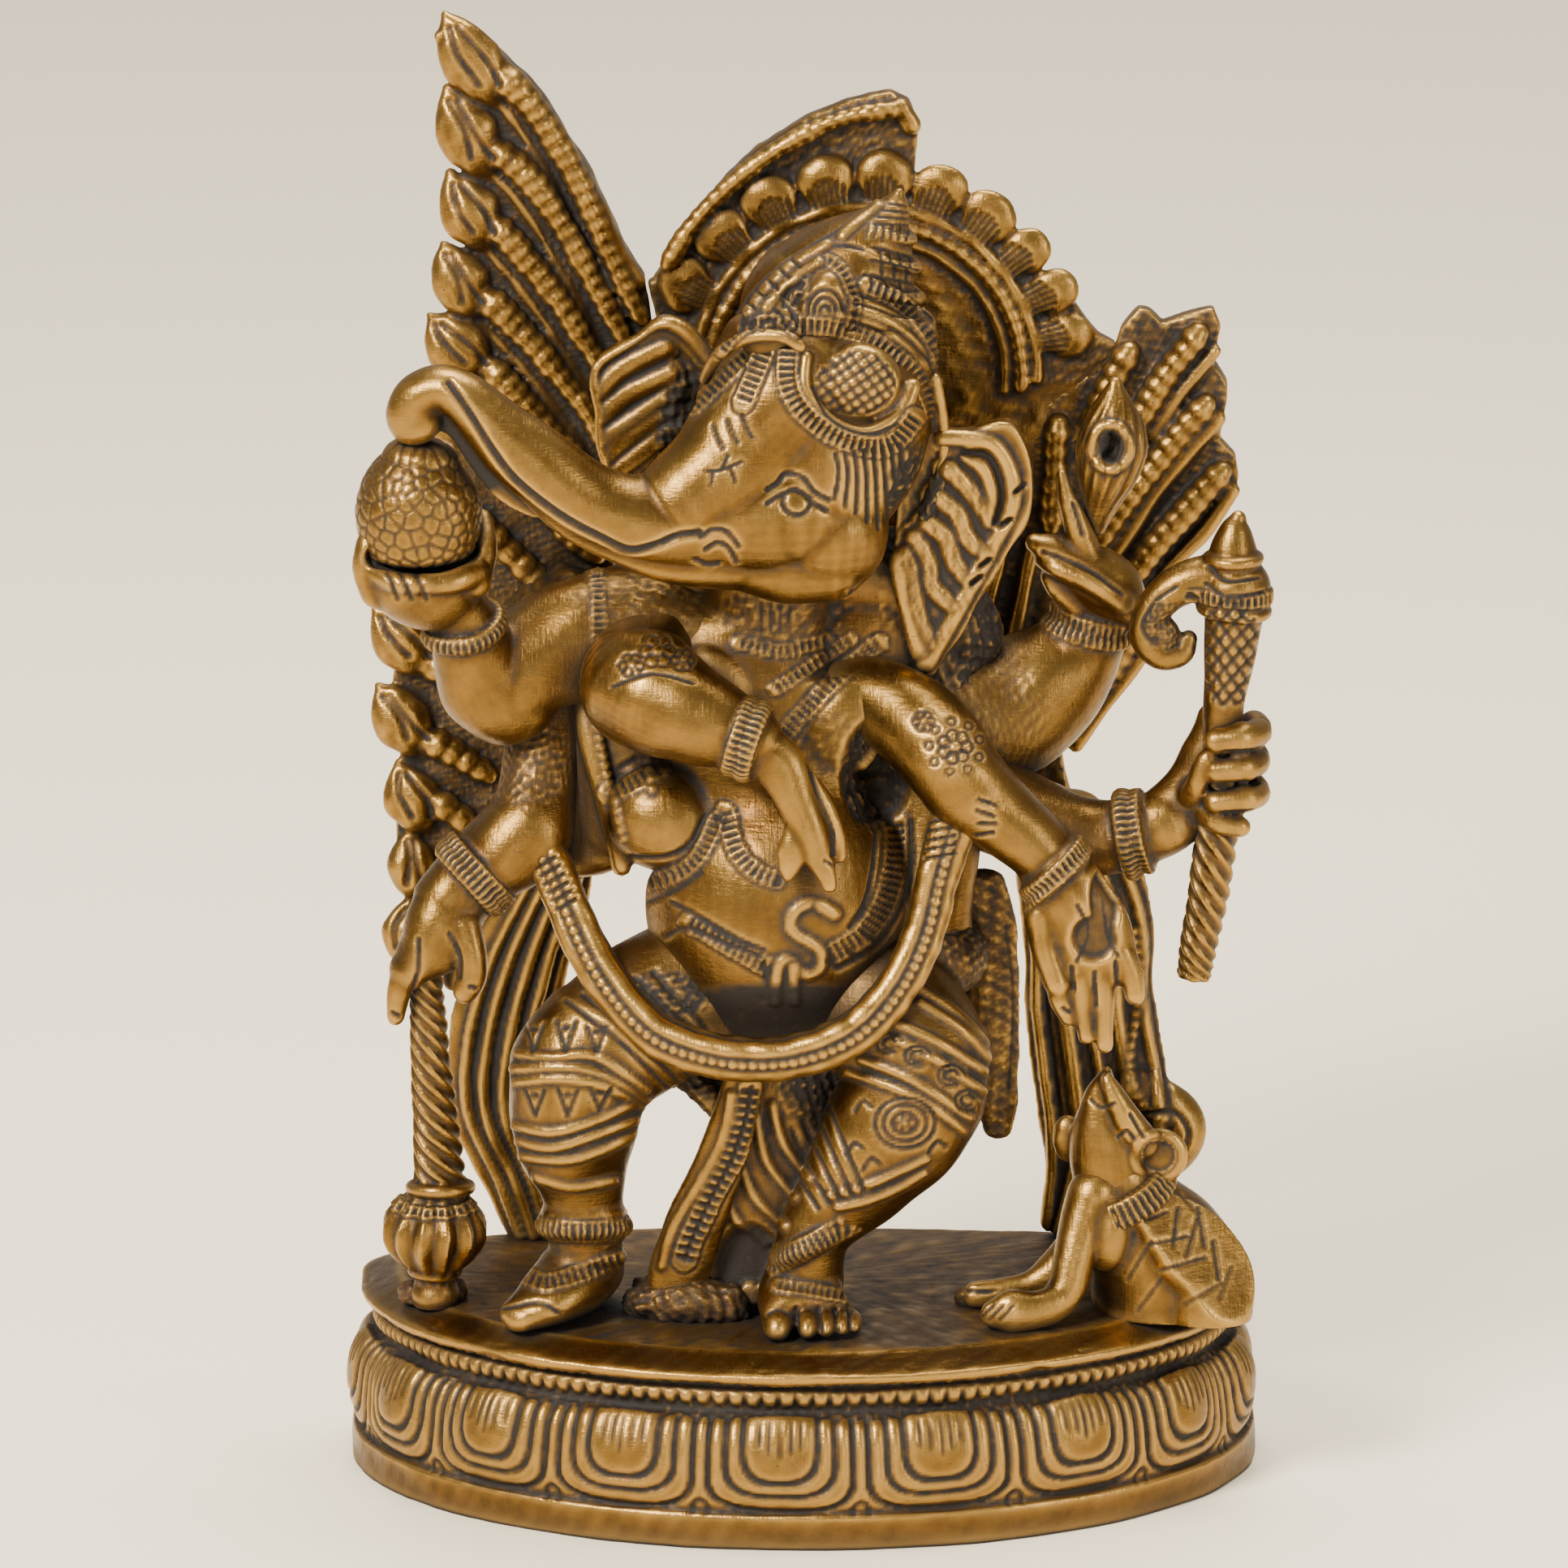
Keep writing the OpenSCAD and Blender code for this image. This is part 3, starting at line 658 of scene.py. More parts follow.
def make_plinth():
    """The hollow plinth: lotus band, rope band and slab, all of one casting."""
    low, high = (np.array(v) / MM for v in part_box("plinth"))
    size = (high[0] - low[0], high[1] - low[1])
    top = high[2]
    thick = 4.0
    half = 300
    front = np.linspace(-math.pi, 0, half * 3 // 2, endpoint=False)
    back = np.linspace(0, math.pi, half // 2, endpoint=False)
    turn = np.concatenate([front, back])
    lotus_low, lotus_high = 6.6, 22.4
    rope_low, rope_high = 24.6, 28.4
    # (height, inset) up the outside, from the foot to the slab
    profile = [(0, 0.5), (0.5, 0.1), (5.6, 0.1), (6.2, 0.5), (7.0, 1.0), (9, 0.4), (12, 0.2),
               (15.5, 0.4), (19, 1.0), (21.6, 2.2), (22.8, 3.8), (23.6, 5.0), (24.4, 5.0),
               (25.2, 4.0), (26.4, 3.7), (27.4, 4.2), (28.1, 5.2), (28.6, 5.0), (28.9, 3.4),
               (29.4, 2.2), (30.4, 1.8), (31.1, 2.4), (33.0, 7.8), (top, 8.6)]
    curve = smooth_line(profile, 5)
    run = distance_along(curve)
    step = 0.5
    at = np.arange(0, run[-1] + step / 2, step)
    heights = np.interp(at, run, curve[:, 0])
    insets = np.interp(at, run, curve[:, 1])
    centre = np.array([0, size[1] * 0.12])
    rows = []

    def row(inset, z, share=1.0):
        flat = plinth_outline(-inset, turn, size)
        flat = centre + share * (flat - centre)
        rows.append(np.column_stack([flat, np.full(len(turn), z)]))

    inner_top = top - thick
    for share in (0.02, 0.3, 0.6, 0.85):
        row(16, inner_top, share)
    for inset, z in ((15, inner_top), (10, 24), (7, 16), (thick, 8), (thick, 0.4)):
        row(inset, z)
    row(thick - 0.4, 0)
    first_outer = len(rows)
    for inset, z in zip(insets, heights):
        row(inset, z)
    last_outer = len(rows)
    for share in np.linspace(0.985, 0.02, 22):
        row(insets[-1], top, share)
    piece = Casting("plinth", [face_outwards(skin(rows))], soften=0)
    n = len(turn)
    which = np.arange(piece.count)
    outer = (which >= first_outer * n) & (which < last_outer * n)
    spin = np.tile(turn, len(rows))
    z = piece.p[:, 2].copy()
    angle = np.degrees(spin) + 90
    ahead = outer & (spin < 0.02)
    band = ahead & (z > lotus_low - 0.4) & (z < lotus_high + 1.2)
    piece.lift[band], piece.dark[band] = petal_relief(angle[band], z[band], lotus_low, lotus_high)
    rope = ahead & (z > rope_low) & (z < rope_high)
    tooth = np.abs((angle[rope] / 2.25) % 1 - 0.5) * 2
    notch = np.clip(1 - tooth / 0.42, 0, 1) * np.clip((27.6 - z[rope]) / 1.6, 0, 1)
    piece.lift[rope] -= 1.3 * notch
    piece.dark[rope] = np.maximum(piece.dark[rope], notch)
    gutters = outer & (((z > 22.6) & (z < 24.9)) | ((z > 28.0) & (z < 29.1)))
    piece.grit_and_shade(gutters * 1.0, 0.2, 1.5, 0.95, seed=31)
    piece.lift += np.where(outer, 0.22 * waves(piece.p, 17, 8) + 0.08 * waves(piece.p, 5, 9), 0)
    deck = which >= last_outer * n
    piece.lift += np.where(deck, 0.12 * waves(piece.p, 13, 10), 0)
    piece.grit_and_shade(deck * 1.0, 0.1, 5, 0.55, seed=32)
    # worn corners and a few knocks along the edge of the slab
    lip = outer & (z > 29.2) & (z < 31.4)
    piece.lift[lip] -= 0.5 * np.clip(waves(piece.p[lip], 9, 12) - 0.35, 0, 1)
    foot = piece.p[:, 2] < 0.01
    piece.lift[foot] = 0
    piece.finish("cast_brass", "cast", floor=0.0)


def plinth_top(sunk=0.4):
    """Height of the plinth's slab, less how far a foot is sunk in it."""
    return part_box("plinth")[1][2] / MM - sunk


def plate_faces():
    """Depth of the front of the backdrop's plates, and of their back."""
    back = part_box("right_tail_fan")[1][1] / MM
    return back - PLATE, back


def plate_ground(piece, front):
    """Which points lie on the flat front of a plate, between its ribs."""
    return (piece.n[:, 1] < -0.85) & (piece.p[:, 1] > front - 0.1)


def leaf(x, z, tall, wide, tilt, front):
    """A plump pointed leaf on the edge of a fan, its tip turned by tilt."""
    a = math.radians(tilt)
    dx, dz = math.sin(a) * tall / 2, math.cos(a) * tall / 2
    return sweep([[x + dx, front + 0.8, z + dz, 0.8, 1.0],
                  [x + dx * 0.6, front + 0.1, z + dz * 0.6, wide * 0.33, 2.2],
                  [x, front - 0.4, z, wide * 0.5, 3.0],
                  [x - dx * 0.6, front - 0.1, z - dz * 0.6, wide * 0.36, 2.6],
                  [x - dx, front + 0.8, z - dz, wide * 0.16, 1.2]], sides=16, steps=3)


def rails(lines, front, r=0.8):
    """Plain round rails on a plate."""
    return [wire([(x, front - 0.2, z) for x, z in line], r, 4) for line in lines]


def distance_along(line):
    """How far along a line each of its points is."""
    steps = np.linalg.norm(np.diff(line, axis=0), axis=1)
    return np.concatenate([[0], np.cumsum(steps)])


def notched(lines, front, size, pitch=2.4):
    """Round ribs notched across like a rope of short barrels, from lines of (x, z)."""
    start, end = size if isinstance(size, tuple) else (size, size)
    ribs = []
    for line in lines:
        path = smooth_line([(x, front - 0.9, z) for x, z in line], 30)
        run = distance_along(path)
        barrels = max(2, round(run[-1] / pitch))
        at = np.linspace(0, run[-1], barrels * 6 + 1)
        place = np.column_stack([np.interp(at, run, path[:, k]) for k in range(3)])
        swell = 0.77 + 0.23 * np.abs(np.sin(np.arange(len(at)) * math.pi / 6)) ** 0.5
        radius = np.linspace(start, end, len(at)) * swell
        ribs.append(sweep(np.column_stack([place, radius]).tolist(), sides=14, steps=1))
    return ribs


def make_left_fan():
    """The tall feather fan."""
    front, back = plate_faces()
    edge = [[-62, 251], [-59, 251], [-54, 248.6], [-48, 243], [-43, 236.6], [-38, 228],
            [-34, 220], [-31, 213], [-27.5, 207]]
    rest = [[-26, 196], [-28, 180], [-34, 150], [-42, 125], [-52, 108], [-62, 92], [-69, 85],
            [-71.6, 89], [-69, 96], [-71, 104], [-71, 112], [-70, 120], [-71.6, 128],
            [-71, 140], [-67, 148], [-63, 164], [-61, 176], [-62, 183], [-60, 190], [-61, 197],
            [-58, 202], [-59, 208], [-57, 213], [-58, 221], [-57, 226], [-59, 235],
            [-58, 240], [-61, 246]]
    ribs = [
        [[-52, 243], [-48, 239.4], [-44, 233.6], [-40, 226.6], [-37, 220], [-34, 213],
         [-31, 206], [-28, 200]],
        [[-53, 230], [-48.6, 226.4], [-44.6, 221.4], [-40.6, 214.6], [-37, 208], [-33.4, 201],
         [-29, 192]],
        [[-53.4, 216.6], [-49.6, 212.6], [-45.4, 207.4], [-41, 201], [-37, 194.6], [-32, 186]],
        [[-54.6, 203.6], [-51, 200], [-47, 195.6], [-42.4, 190], [-38, 184], [-33, 176]],
        [[-54, 191], [-50.4, 187], [-46, 182.4], [-41, 177], [-36.6, 171]],
        [[-57, 164], [-51, 158], [-46, 153], [-40, 148]],
        [[-46, 168], [-41, 162], [-36, 157.6]],
        [[-65, 124], [-60.6, 121.6], [-55, 118]],
        [[-64, 113], [-60, 110.4], [-56, 106]],
        [[-65, 138], [-60.4, 135], [-56, 131]]]
    rods = [[[x - 3.6, z - 2.4] for x, z in line] for line in ribs[:5]]
    parts = [slab(edge + rest, back, SHEET)]
    parts += notched(ribs[:5], front, (2.9, 1.7), 2.5) + notched(ribs[5:], front, (2.8, 2.2), 3.2)
    rim = [[x - 0.8, z - 0.8] for x, z in edge]
    parts += rails(rods, front + 0.5, 0.7) + rails([rim], front, 1.0)
    leaves = [(-57.4, 246, 18, 11, -30), (-58.2, 233, 17, 11, -24), (-57.8, 219, 14.6, 10.6, -26),
              (-59.5, 206.6, 14, 10.6, -24), (-60.2, 195, 14, 11.4, -42), (-62, 183, 12, 10, -30),
              (-70, 142.3, 14, 11, -40), (-70, 127.7, 14, 11, -34), (-68.4, 113.6, 12.6, 10.4, -20),
              (-68.4, 101.4, 12, 9, -4), (-69.6, 89.6, 11, 8, 10)]
    parts += [leaf(*spec, front) for spec in leaves]
    piece = Casting("left_tail_fan", parts, 0.46, soften=1)
    for k, (x, z, tall, wide, tilt) in enumerate(leaves):
        a = math.radians(tilt)
        h = z + LEAN * front
        for across, bow in ((-0.12, 0.9), (0.2, -0.7)):
            off = across * wide
            top = (x + math.sin(a) * tall * 0.36 + off * 0.4, h + math.cos(a) * tall * 0.36)
            mid = (x + off + bow * (1 if k % 2 else -1), h + 0.6 * bow)
            foot = (x - math.sin(a) * tall * 0.3 + off, h - math.cos(a) * tall * 0.3)
            piece.cut([top, mid, foot], 0.8, 0.5, 0.4, bend=4)
    piece.knead(0.12, 4, 42)
    piece.grit_and_shade(plate_ground(piece, front) * 1.0, 0.18, 1.2, 0.68, seed=40)
    piece.knead(0.18, 9, 41).finish("aged_brass", "aged")


def make_halo():
    """The halo plate with its ridges, petals and crest feather."""
    front, back = plate_faces()
    mid = (11.0, 190.3)
    fill = [[-27, 206], [-25, 196], [-20, 182], [-10, 172], [20, 168], [40, 172], [50, 180],
            [54, 195], [51, 196.5], [46.5, 203], [40, 205], [11, 212], [-18, 208]]
    crest = [[-26, 207], [-20, 215], [-15, 223], [-8, 230], [0, 235], [8, 238.6], [15, 240],
             [18, 238.4], [20, 234], [19, 224], [0, 212]]

    def arc(r, start, end, count=24, y=front):
        return [(mid[0] + r * math.sin(math.radians(a)), y, mid[1] + r * math.cos(math.radians(a)))
                for a in np.linspace(start, end, count)]

    parts = [slab(fill, back, SHEET), slab(crest, back, 3.2)]
    parts.append(slab([(x, z) for x, _, z in arc(33.4, -180, 174, 60)], back, SHEET))
    parts += [wire(arc(29.4, -84, 92), 1.25, 2), wire(arc(24.0, -84, 98), 1.0, 2)]
    parts += notched([[(x, z) for x, _, z in arc(26.8, -84, 96)]], front + 0.6, 1.5, 2.4)
    # broad shell-like petals
    petals = [-84, -64, -46, -29, -12, 5, 21, 37, 52, 66, 79]
    for k, a in enumerate(petals):
        spot = arc(35.2, a, a, 1, front - 0.1)[0]
        wide = 5.0 if k < 8 else 4.1
        parts.append(dome(spot, (wide, 2.0, 4.4), (0, a, 0)))
        foot = arc(32.6, a, a, 1, front + 0.2)[0]
        parts.append(dome(foot, (wide * 0.76, 1.8, 3.2), (0, a, 0)))
    rope = [(-23.6, 210), (-19.6, 216.4), (-15, 221.8), (-7, 228.6), (0, 232.8), (8, 236.2),
            (16.4, 237.4)]
    parts += notched([rope], front - 0.1, 1.7, 2.2)
    parts.append(wire([(17, front - 0.4, 237.6), (18.6, front - 0.4, 234.6)], 1.9, 5))
    piece = Casting("halo", parts, 0.46, soften=1)
    for k, a in enumerate(petals):
        for spread in (-3.6, -2.1, -0.7, 0.7, 2.1, 3.6):
            inner = arc(31, a + spread * 1.3, 0, 1)[0]
            outer = arc(35.4 - abs(spread) * 0.4, a + spread * 1.3, 0, 1)[0]
            line = [(p[0], p[2] + LEAN * (front - 1.6)) for p in (inner, outer)]
            piece.cut(line, 0.5, 0.45, 0.6, bend=1)
    piece.knead(0.1, 4, 47)
    radius = np.hypot(piece.p[:, 0] - mid[0], piece.p[:, 2] - mid[1])
    ground = plate_ground(piece, front) & (radius > 21.5) & (piece.p[:, 2] > 188)
    piece.grit_and_shade(ground * 1.0, 0.2, 1.2, 0.62, seed=43)
    inner = ((radius < 22.5) | (piece.p[:, 2] < 190)) & (piece.n[:, 1] < -0.85)
    piece.grit_and_shade(inner * 0.55, 0.2, 4, 0.15, seed=44)
    piece.knead(0.22, 9, 44).finish("aged_brass", "aged")


def make_right_fan():
    """The smaller feather fan."""
    front, back = plate_faces()
    outline = [[50, 190], [54, 195], [55, 198], [58, 201.5], [60, 201], [62, 198.6], [66, 200],
               [71, 201.6], [72.4, 198], [71, 192], [73.4, 188], [73.6, 185], [72, 178],
               [75, 175], [75.4, 171], [73.4, 166], [70, 162], [63, 152], [57, 137], [48, 126],
               [45, 121], [47, 112], [40, 110], [32, 122], [26, 140], [25.4, 156], [30, 172],
               [44, 186]]
    ribs = [
        [[57, 180], [60.4, 186], [64, 191.6], [68.4, 197.4]],
        [[50, 158], [53.4, 163.4], [58.4, 170.6], [64, 178], [69.6, 184.6]],
        [[56, 152], [60.6, 158.4], [65.4, 164.4], [69, 168.6], [72.6, 172.6]],
        [[45, 125], [49, 131], [53, 137], [57, 143]],
        [[43, 163], [43.6, 172], [44.2, 181]],
        [[50, 181], [52.6, 187.4], [56.4, 194]]]
    rods = [[[60.6, 179], [65, 186], [71.4, 194]], [[53.6, 157], [60, 167], [65, 174],
                                                    [72, 182]],
            [[58.4, 148], [64, 155.6], [70, 162], [74.4, 169]], [[47.4, 123], [53, 131], [60, 141]],
            [[30, 140], [33, 152], [36, 164]], [[36, 138], [38, 150], [40, 160]]]
    parts = [slab(outline, back, SHEET)]
    parts += notched(ribs[:4], front, (2.4, 2.5), 2.7) + notched(ribs[4:], front, 2.4, 2.9)
    parts += rails(rods, front, 1.35)
    piece = Casting("right_tail_fan", parts, 0.45, soften=2)
    piece.grit_and_shade(plate_ground(piece, front) * 1.0, 0.16, 1.2, 0.75, seed=45)
    piece.knead(0.25, 9, 46).finish("aged_brass", "aged")


def make_scarf_tails():
    """The two scarf ends that fall behind the figure to the plinth."""
    left = [[-45, 3, 119, 4.5, 3], [-42, 18, 111, 5, 3], [-43, 30, 101, 6.5, 2.8],
            [-49, 33, 86, 8.5, 2.6], [-53, 34, 71, 9, 2.6], [-54, 34.5, 57, 8, 2.6],
            [-49, 35, 44, 7, 2.6], [-46, 35, 34, 6, 2.6]]
    right = [[33, 2, 121, 4.5, 3], [40, 18, 116, 6, 3], [46, 30, 107, 10, 2.8],
             [49.5, 33, 92, 11.5, 2.6], [50, 34, 76, 11.5, 2.6], [52, 34.5, 62, 12, 2.6],
             [52.5, 35, 50, 11, 2.6], [47.5, 35, 35, 6, 2.6]]
    curl = [[58, 33, 62, 3, 3], [64, 32.5, 57.5, 4.4, 3.6], [66.4, 32.5, 51.5, 3.8, 3.4],
            [62, 33, 46.5, 3, 2.8], [58, 34, 47, 2, 2]]
    floor = plinth_top(0.6)
    piece = Casting("left_scarf_tail", [sweep(left, 36)], 0.5)
    for off in (-0.62, -0.22, 0.22, 0.62):
        line = [(q[0] + off * q[3] * 0.95, q[2] + LEAN * (q[1] - 2)) for q in left[2:]]
        piece.raise_line(line, 2.4, 1.1, 1.0, near=36)
        line = [(x + 1.6, h) for x, h in line]
        piece.cut(line, 0.7, 0.5, 0.9, near=36)
    piece.knead(0.25, 10, 50).finish("aged_brass", "aged", floor=floor)
    piece = Casting("right_scarf_tail", [sweep(right, 40), sweep(curl, 20)], 0.5)
    for off, width in ((-0.85, 1.0), (-0.4, 1.4), (0.0, 0.9), (0.42, 1.4), (0.85, 1.0)):
        line = [(q[0] + off * q[3] * 0.95, q[2] + LEAN * (q[1] - 2)) for q in right[2:]]
        piece.raise_line(line, 3, width, 1.0, near=36)
        line = [(x + 2.0, h) for x, h in line]
        piece.cut(line, 0.7, 0.6, 0.9, near=36)
    piece.beads([(57.5, 100), (58.5, 88), (57, 75), (59, 68), (63, 65)], 2, 1.0, 1.9)
    piece.cut([(60, 66), (65, 66), (67.4, 62), (65, 58), (62.5, 60)], 0.6, 0.6)
    piece.knead(0.25, 10, 51).finish("aged_brass", "aged", floor=floor)


# ---------------------------------------------------------------- figure

def make_torso():
    """Chest, neck and belly, with necklaces, belts and a snake girdle."""
    body = [[-5, 2, 86, 15, 13], [-4.6, -2, 94, 20, 18], [-4.8, -3.5, 104, 22.4, 19.6],
            [-4.6, -3, 112, 21.6, 19], [-6, 0, 122, 19.5, 16], [-9, 2, 135, 19, 13],
            [-10, 3, 147, 20, 12], [-7, 3, 156, 12.5, 10], [-4, 2, 167, 10, 10]]
    parts = [sweep(body, 48, 8)]
    parts += [dome((-23.6, -7, 121.6), (10.4, 8, 9.4), (0, 12, 0)),
              dome((12, 5, 150), (13, 7, 12)),
              sweep([[-28, 4, 152, 10, 6], [-31, 2, 140, 9, 5], [-32, 0.6, 128, 8, 5],
                     [-33.4, -1, 117, 5.6, 4]], 24),
              sweep([[12, 5, 150, 8, 6], [14, 5, 134, 8, 6], [14, 3, 120, 9, 6]], 24),
              dome((-15, -7, 143), (8, 4, 10), (0, -25, 0)),
              dome((6.4, -6.4, 137.6), (7.6, 5, 10), (0, 20, 0))]
    # the rough wall that joins the chest to the arms and the hips
    parts += [sweep([[-34, 8, 152, 9, 7], [-16, 7, 160, 9, 8], [4, 7, 162, 9, 8],
                     [20, 7, 158, 9.4, 8], [27, 8, 150, 8, 7]], 24),
              sweep([[22, 6, 148, 8, 6], [24, 4, 134, 8, 6], [23, 2, 120, 8.4, 6],
                     [20, 0, 106, 9.6, 7], [18, 0, 94, 12, 9]], 24),
              sweep([[-38, 6, 148, 7, 6], [-38, 4, 134, 7.4, 5], [-38.4, 2, 122, 8, 4.6],
                     [-36, 0, 113.6, 8, 4]], 24),
              sweep([[-38, 1, 146, 2.4, 2], [-36.5, -3, 134, 2.2, 2], [-33.5, -6, 122, 2, 2],
                     [-31.5, -7, 113, 1.8, 2]], 14)]
    piece = Casting("torso", parts, 0.54, soften=4)
    piece.knead(0.35, 14, 60)
    for line, half in (([(-11, 151), (-4, 149.6), (4, 151.5)], 1.4),
                       ([(13, 151), (6, 145), (0, 138.5), (-4, 134)], 1.7),
                       ([(8, 151.5), (1, 146.6), (-5, 142.6)], 1.3),
                       ([(16, 119), (15.6, 111), (13.6, 104), (10, 98.6), (5, 95.4)], 2.1),
                       ([(-20, 101), (-16, 98.8), (-11, 95.7), (-6, 92.8)], 1.8),
                       ([(-28, 107.6), (-22, 109.6), (-18, 113), (-15, 119.4)], 1.6),
                       ([(-13.6, 121), (-11.6, 114), (-8.6, 110.4), (-4.8, 108.6)], 1.8),
                       ([(-34, 124), (-29, 126), (-24.6, 128.6)], 1.8)):
        piece.ladder(line, half, 1.3, 0.65)
    for line in ([(-30, 112.6), (-24, 112.6), (-19.6, 115), (-17, 120)],
                 [(-27, 104.6), (-22, 106.8), (-17.6, 109.8)],
                 [(-33, 128), (-27, 131), (-22, 131)],
                 [(-24, 98.4), (-20, 100), (-14, 97.4), (-7.6, 95)],
                 [(-23, 104.6), (-19, 102.4), (-13, 98.6), (-7, 96)],
                 [(-7, 93.6), (-6.4, 90), (-7, 87)], [(-3, 92.6), (-2.6, 89.6), (-3.2, 86.4)],
                 [(18.4, 119), (18.6, 110), (16.4, 102.6), (12, 96.4), (6, 92.6)],
                 [(12.6, 118), (12, 111), (10.6, 104.6), (8, 100)]):
        piece.cut(line, 0.6, 0.5)
    snake = [(4.6, 103), (2.8, 104.2), (0.6, 104.4), (-1.6, 103), (-2.4, 100.6), (-1.2, 98.8),
             (0.8, 97.6), (2.6, 96.2), (3.2, 94.2), (2.4, 92.4), (0.6, 91.6), (-0.8, 92.4),
             (-2, 94), (-3.6, 94.2), (-4.6, 92), (-4.9, 87)]
    for line, wide in ((snake, 1.1), ([(-1.9, 93.2), (-1.5, 87)], 1),
                       ([(3, 104), (5.2, 102.6)], 1.4)):
        idx, gap, _, _ = piece.drawn(line, 2)
        piece.dark[idx] *= np.clip(gap / wide, 0, 1) ** 2
        piece.raise_line(line, 2, wide, 0.8, 0.85)
    for line in ([(-36, 140), (-34, 128), (-31, 116)], [(-28, 146), (-27, 134), (-26, 124)]):
        piece.beads(line, 2, 0.9, 1.7)
    for dx in np.linspace(-2.4, 2.4, 4):
        piece.cut([(dx - 5, 158), (dx - 5, 153)], 0.4, 0.25, bend=1)
    throat = piece.card_mask((-3, 156), (13, 7)) + piece.card_mask((3, 133), (9, 7)) * 0.5
    piece.grit_and_shade(np.clip(throat, 0, 1), 0.16, 1.3, 0.45, seed=61)
    # Painted shade: the right of the yoke and a pit by the chest are roughened and darkened as the
    # shade in the gap between cheek, ear and shoulder.
    wall = np.clip(piece.p[:, 1] + 1.5, 0, 3) / 3 * (piece.p[:, 0] > 13)
    pit = piece.card_mask((12.4, 127.4), (6.2, 10.4))
    piece.lift -= 2 * pit
    rough = np.clip(wall + pit, 0, 1) * np.clip(piece.facing + 0.2, 0, 1)
    piece.grit_and_shade(rough, 0.45, 1.7, 1.5, seed=62)
    flank = np.clip(piece.p[:, 1] + 2, 0, 3) / 3 * (piece.p[:, 0] < -26)
    piece.grit_and_shade(flank, 0.2, 1.8, 0.6, seed=63)
    # Painted shade: a band under the belly, above the sash, is darkened as the shade there.
    under = piece.card_mask((-2, 84), (30, 7))
    piece.dark = np.maximum(piece.dark, 0.9 * under)
    for x, h in ((5, 93.4), (8.4, 95.4), (11, 98.6)):
        piece.cut([(x - 0.9, h + 0.8), (x + 0.9, h - 0.8)], 0.5, 0.4, bend=1)
    piece.finish("cast_brass", "cast")


def eye_lines(x, h):
    """The cut lines of an eye about its centre: ring, two lids and a corner."""
    ring = oval(x, h, 2.4, 2.3, 9, 2.7, 6.6)
    low_lid = [(-5.1, -0.3), (-3.4, 0.9), (-2.0, 1.6), (-0.6, 2.2), (1.2, 1.4), (2.6, 0),
               (5.1, -1.5)]
    top_lid = [(-5.1, 2.1), (-3.2, 3.4), (-2.2, 4.8), (-0.8, 5), (1.2, 4.1), (2.9, 1.8), (5.4, 0.4)]
    return [ring] + [[(x + dx, h + dh) for dx, dh in lid] for lid in (low_lid, top_lid)]


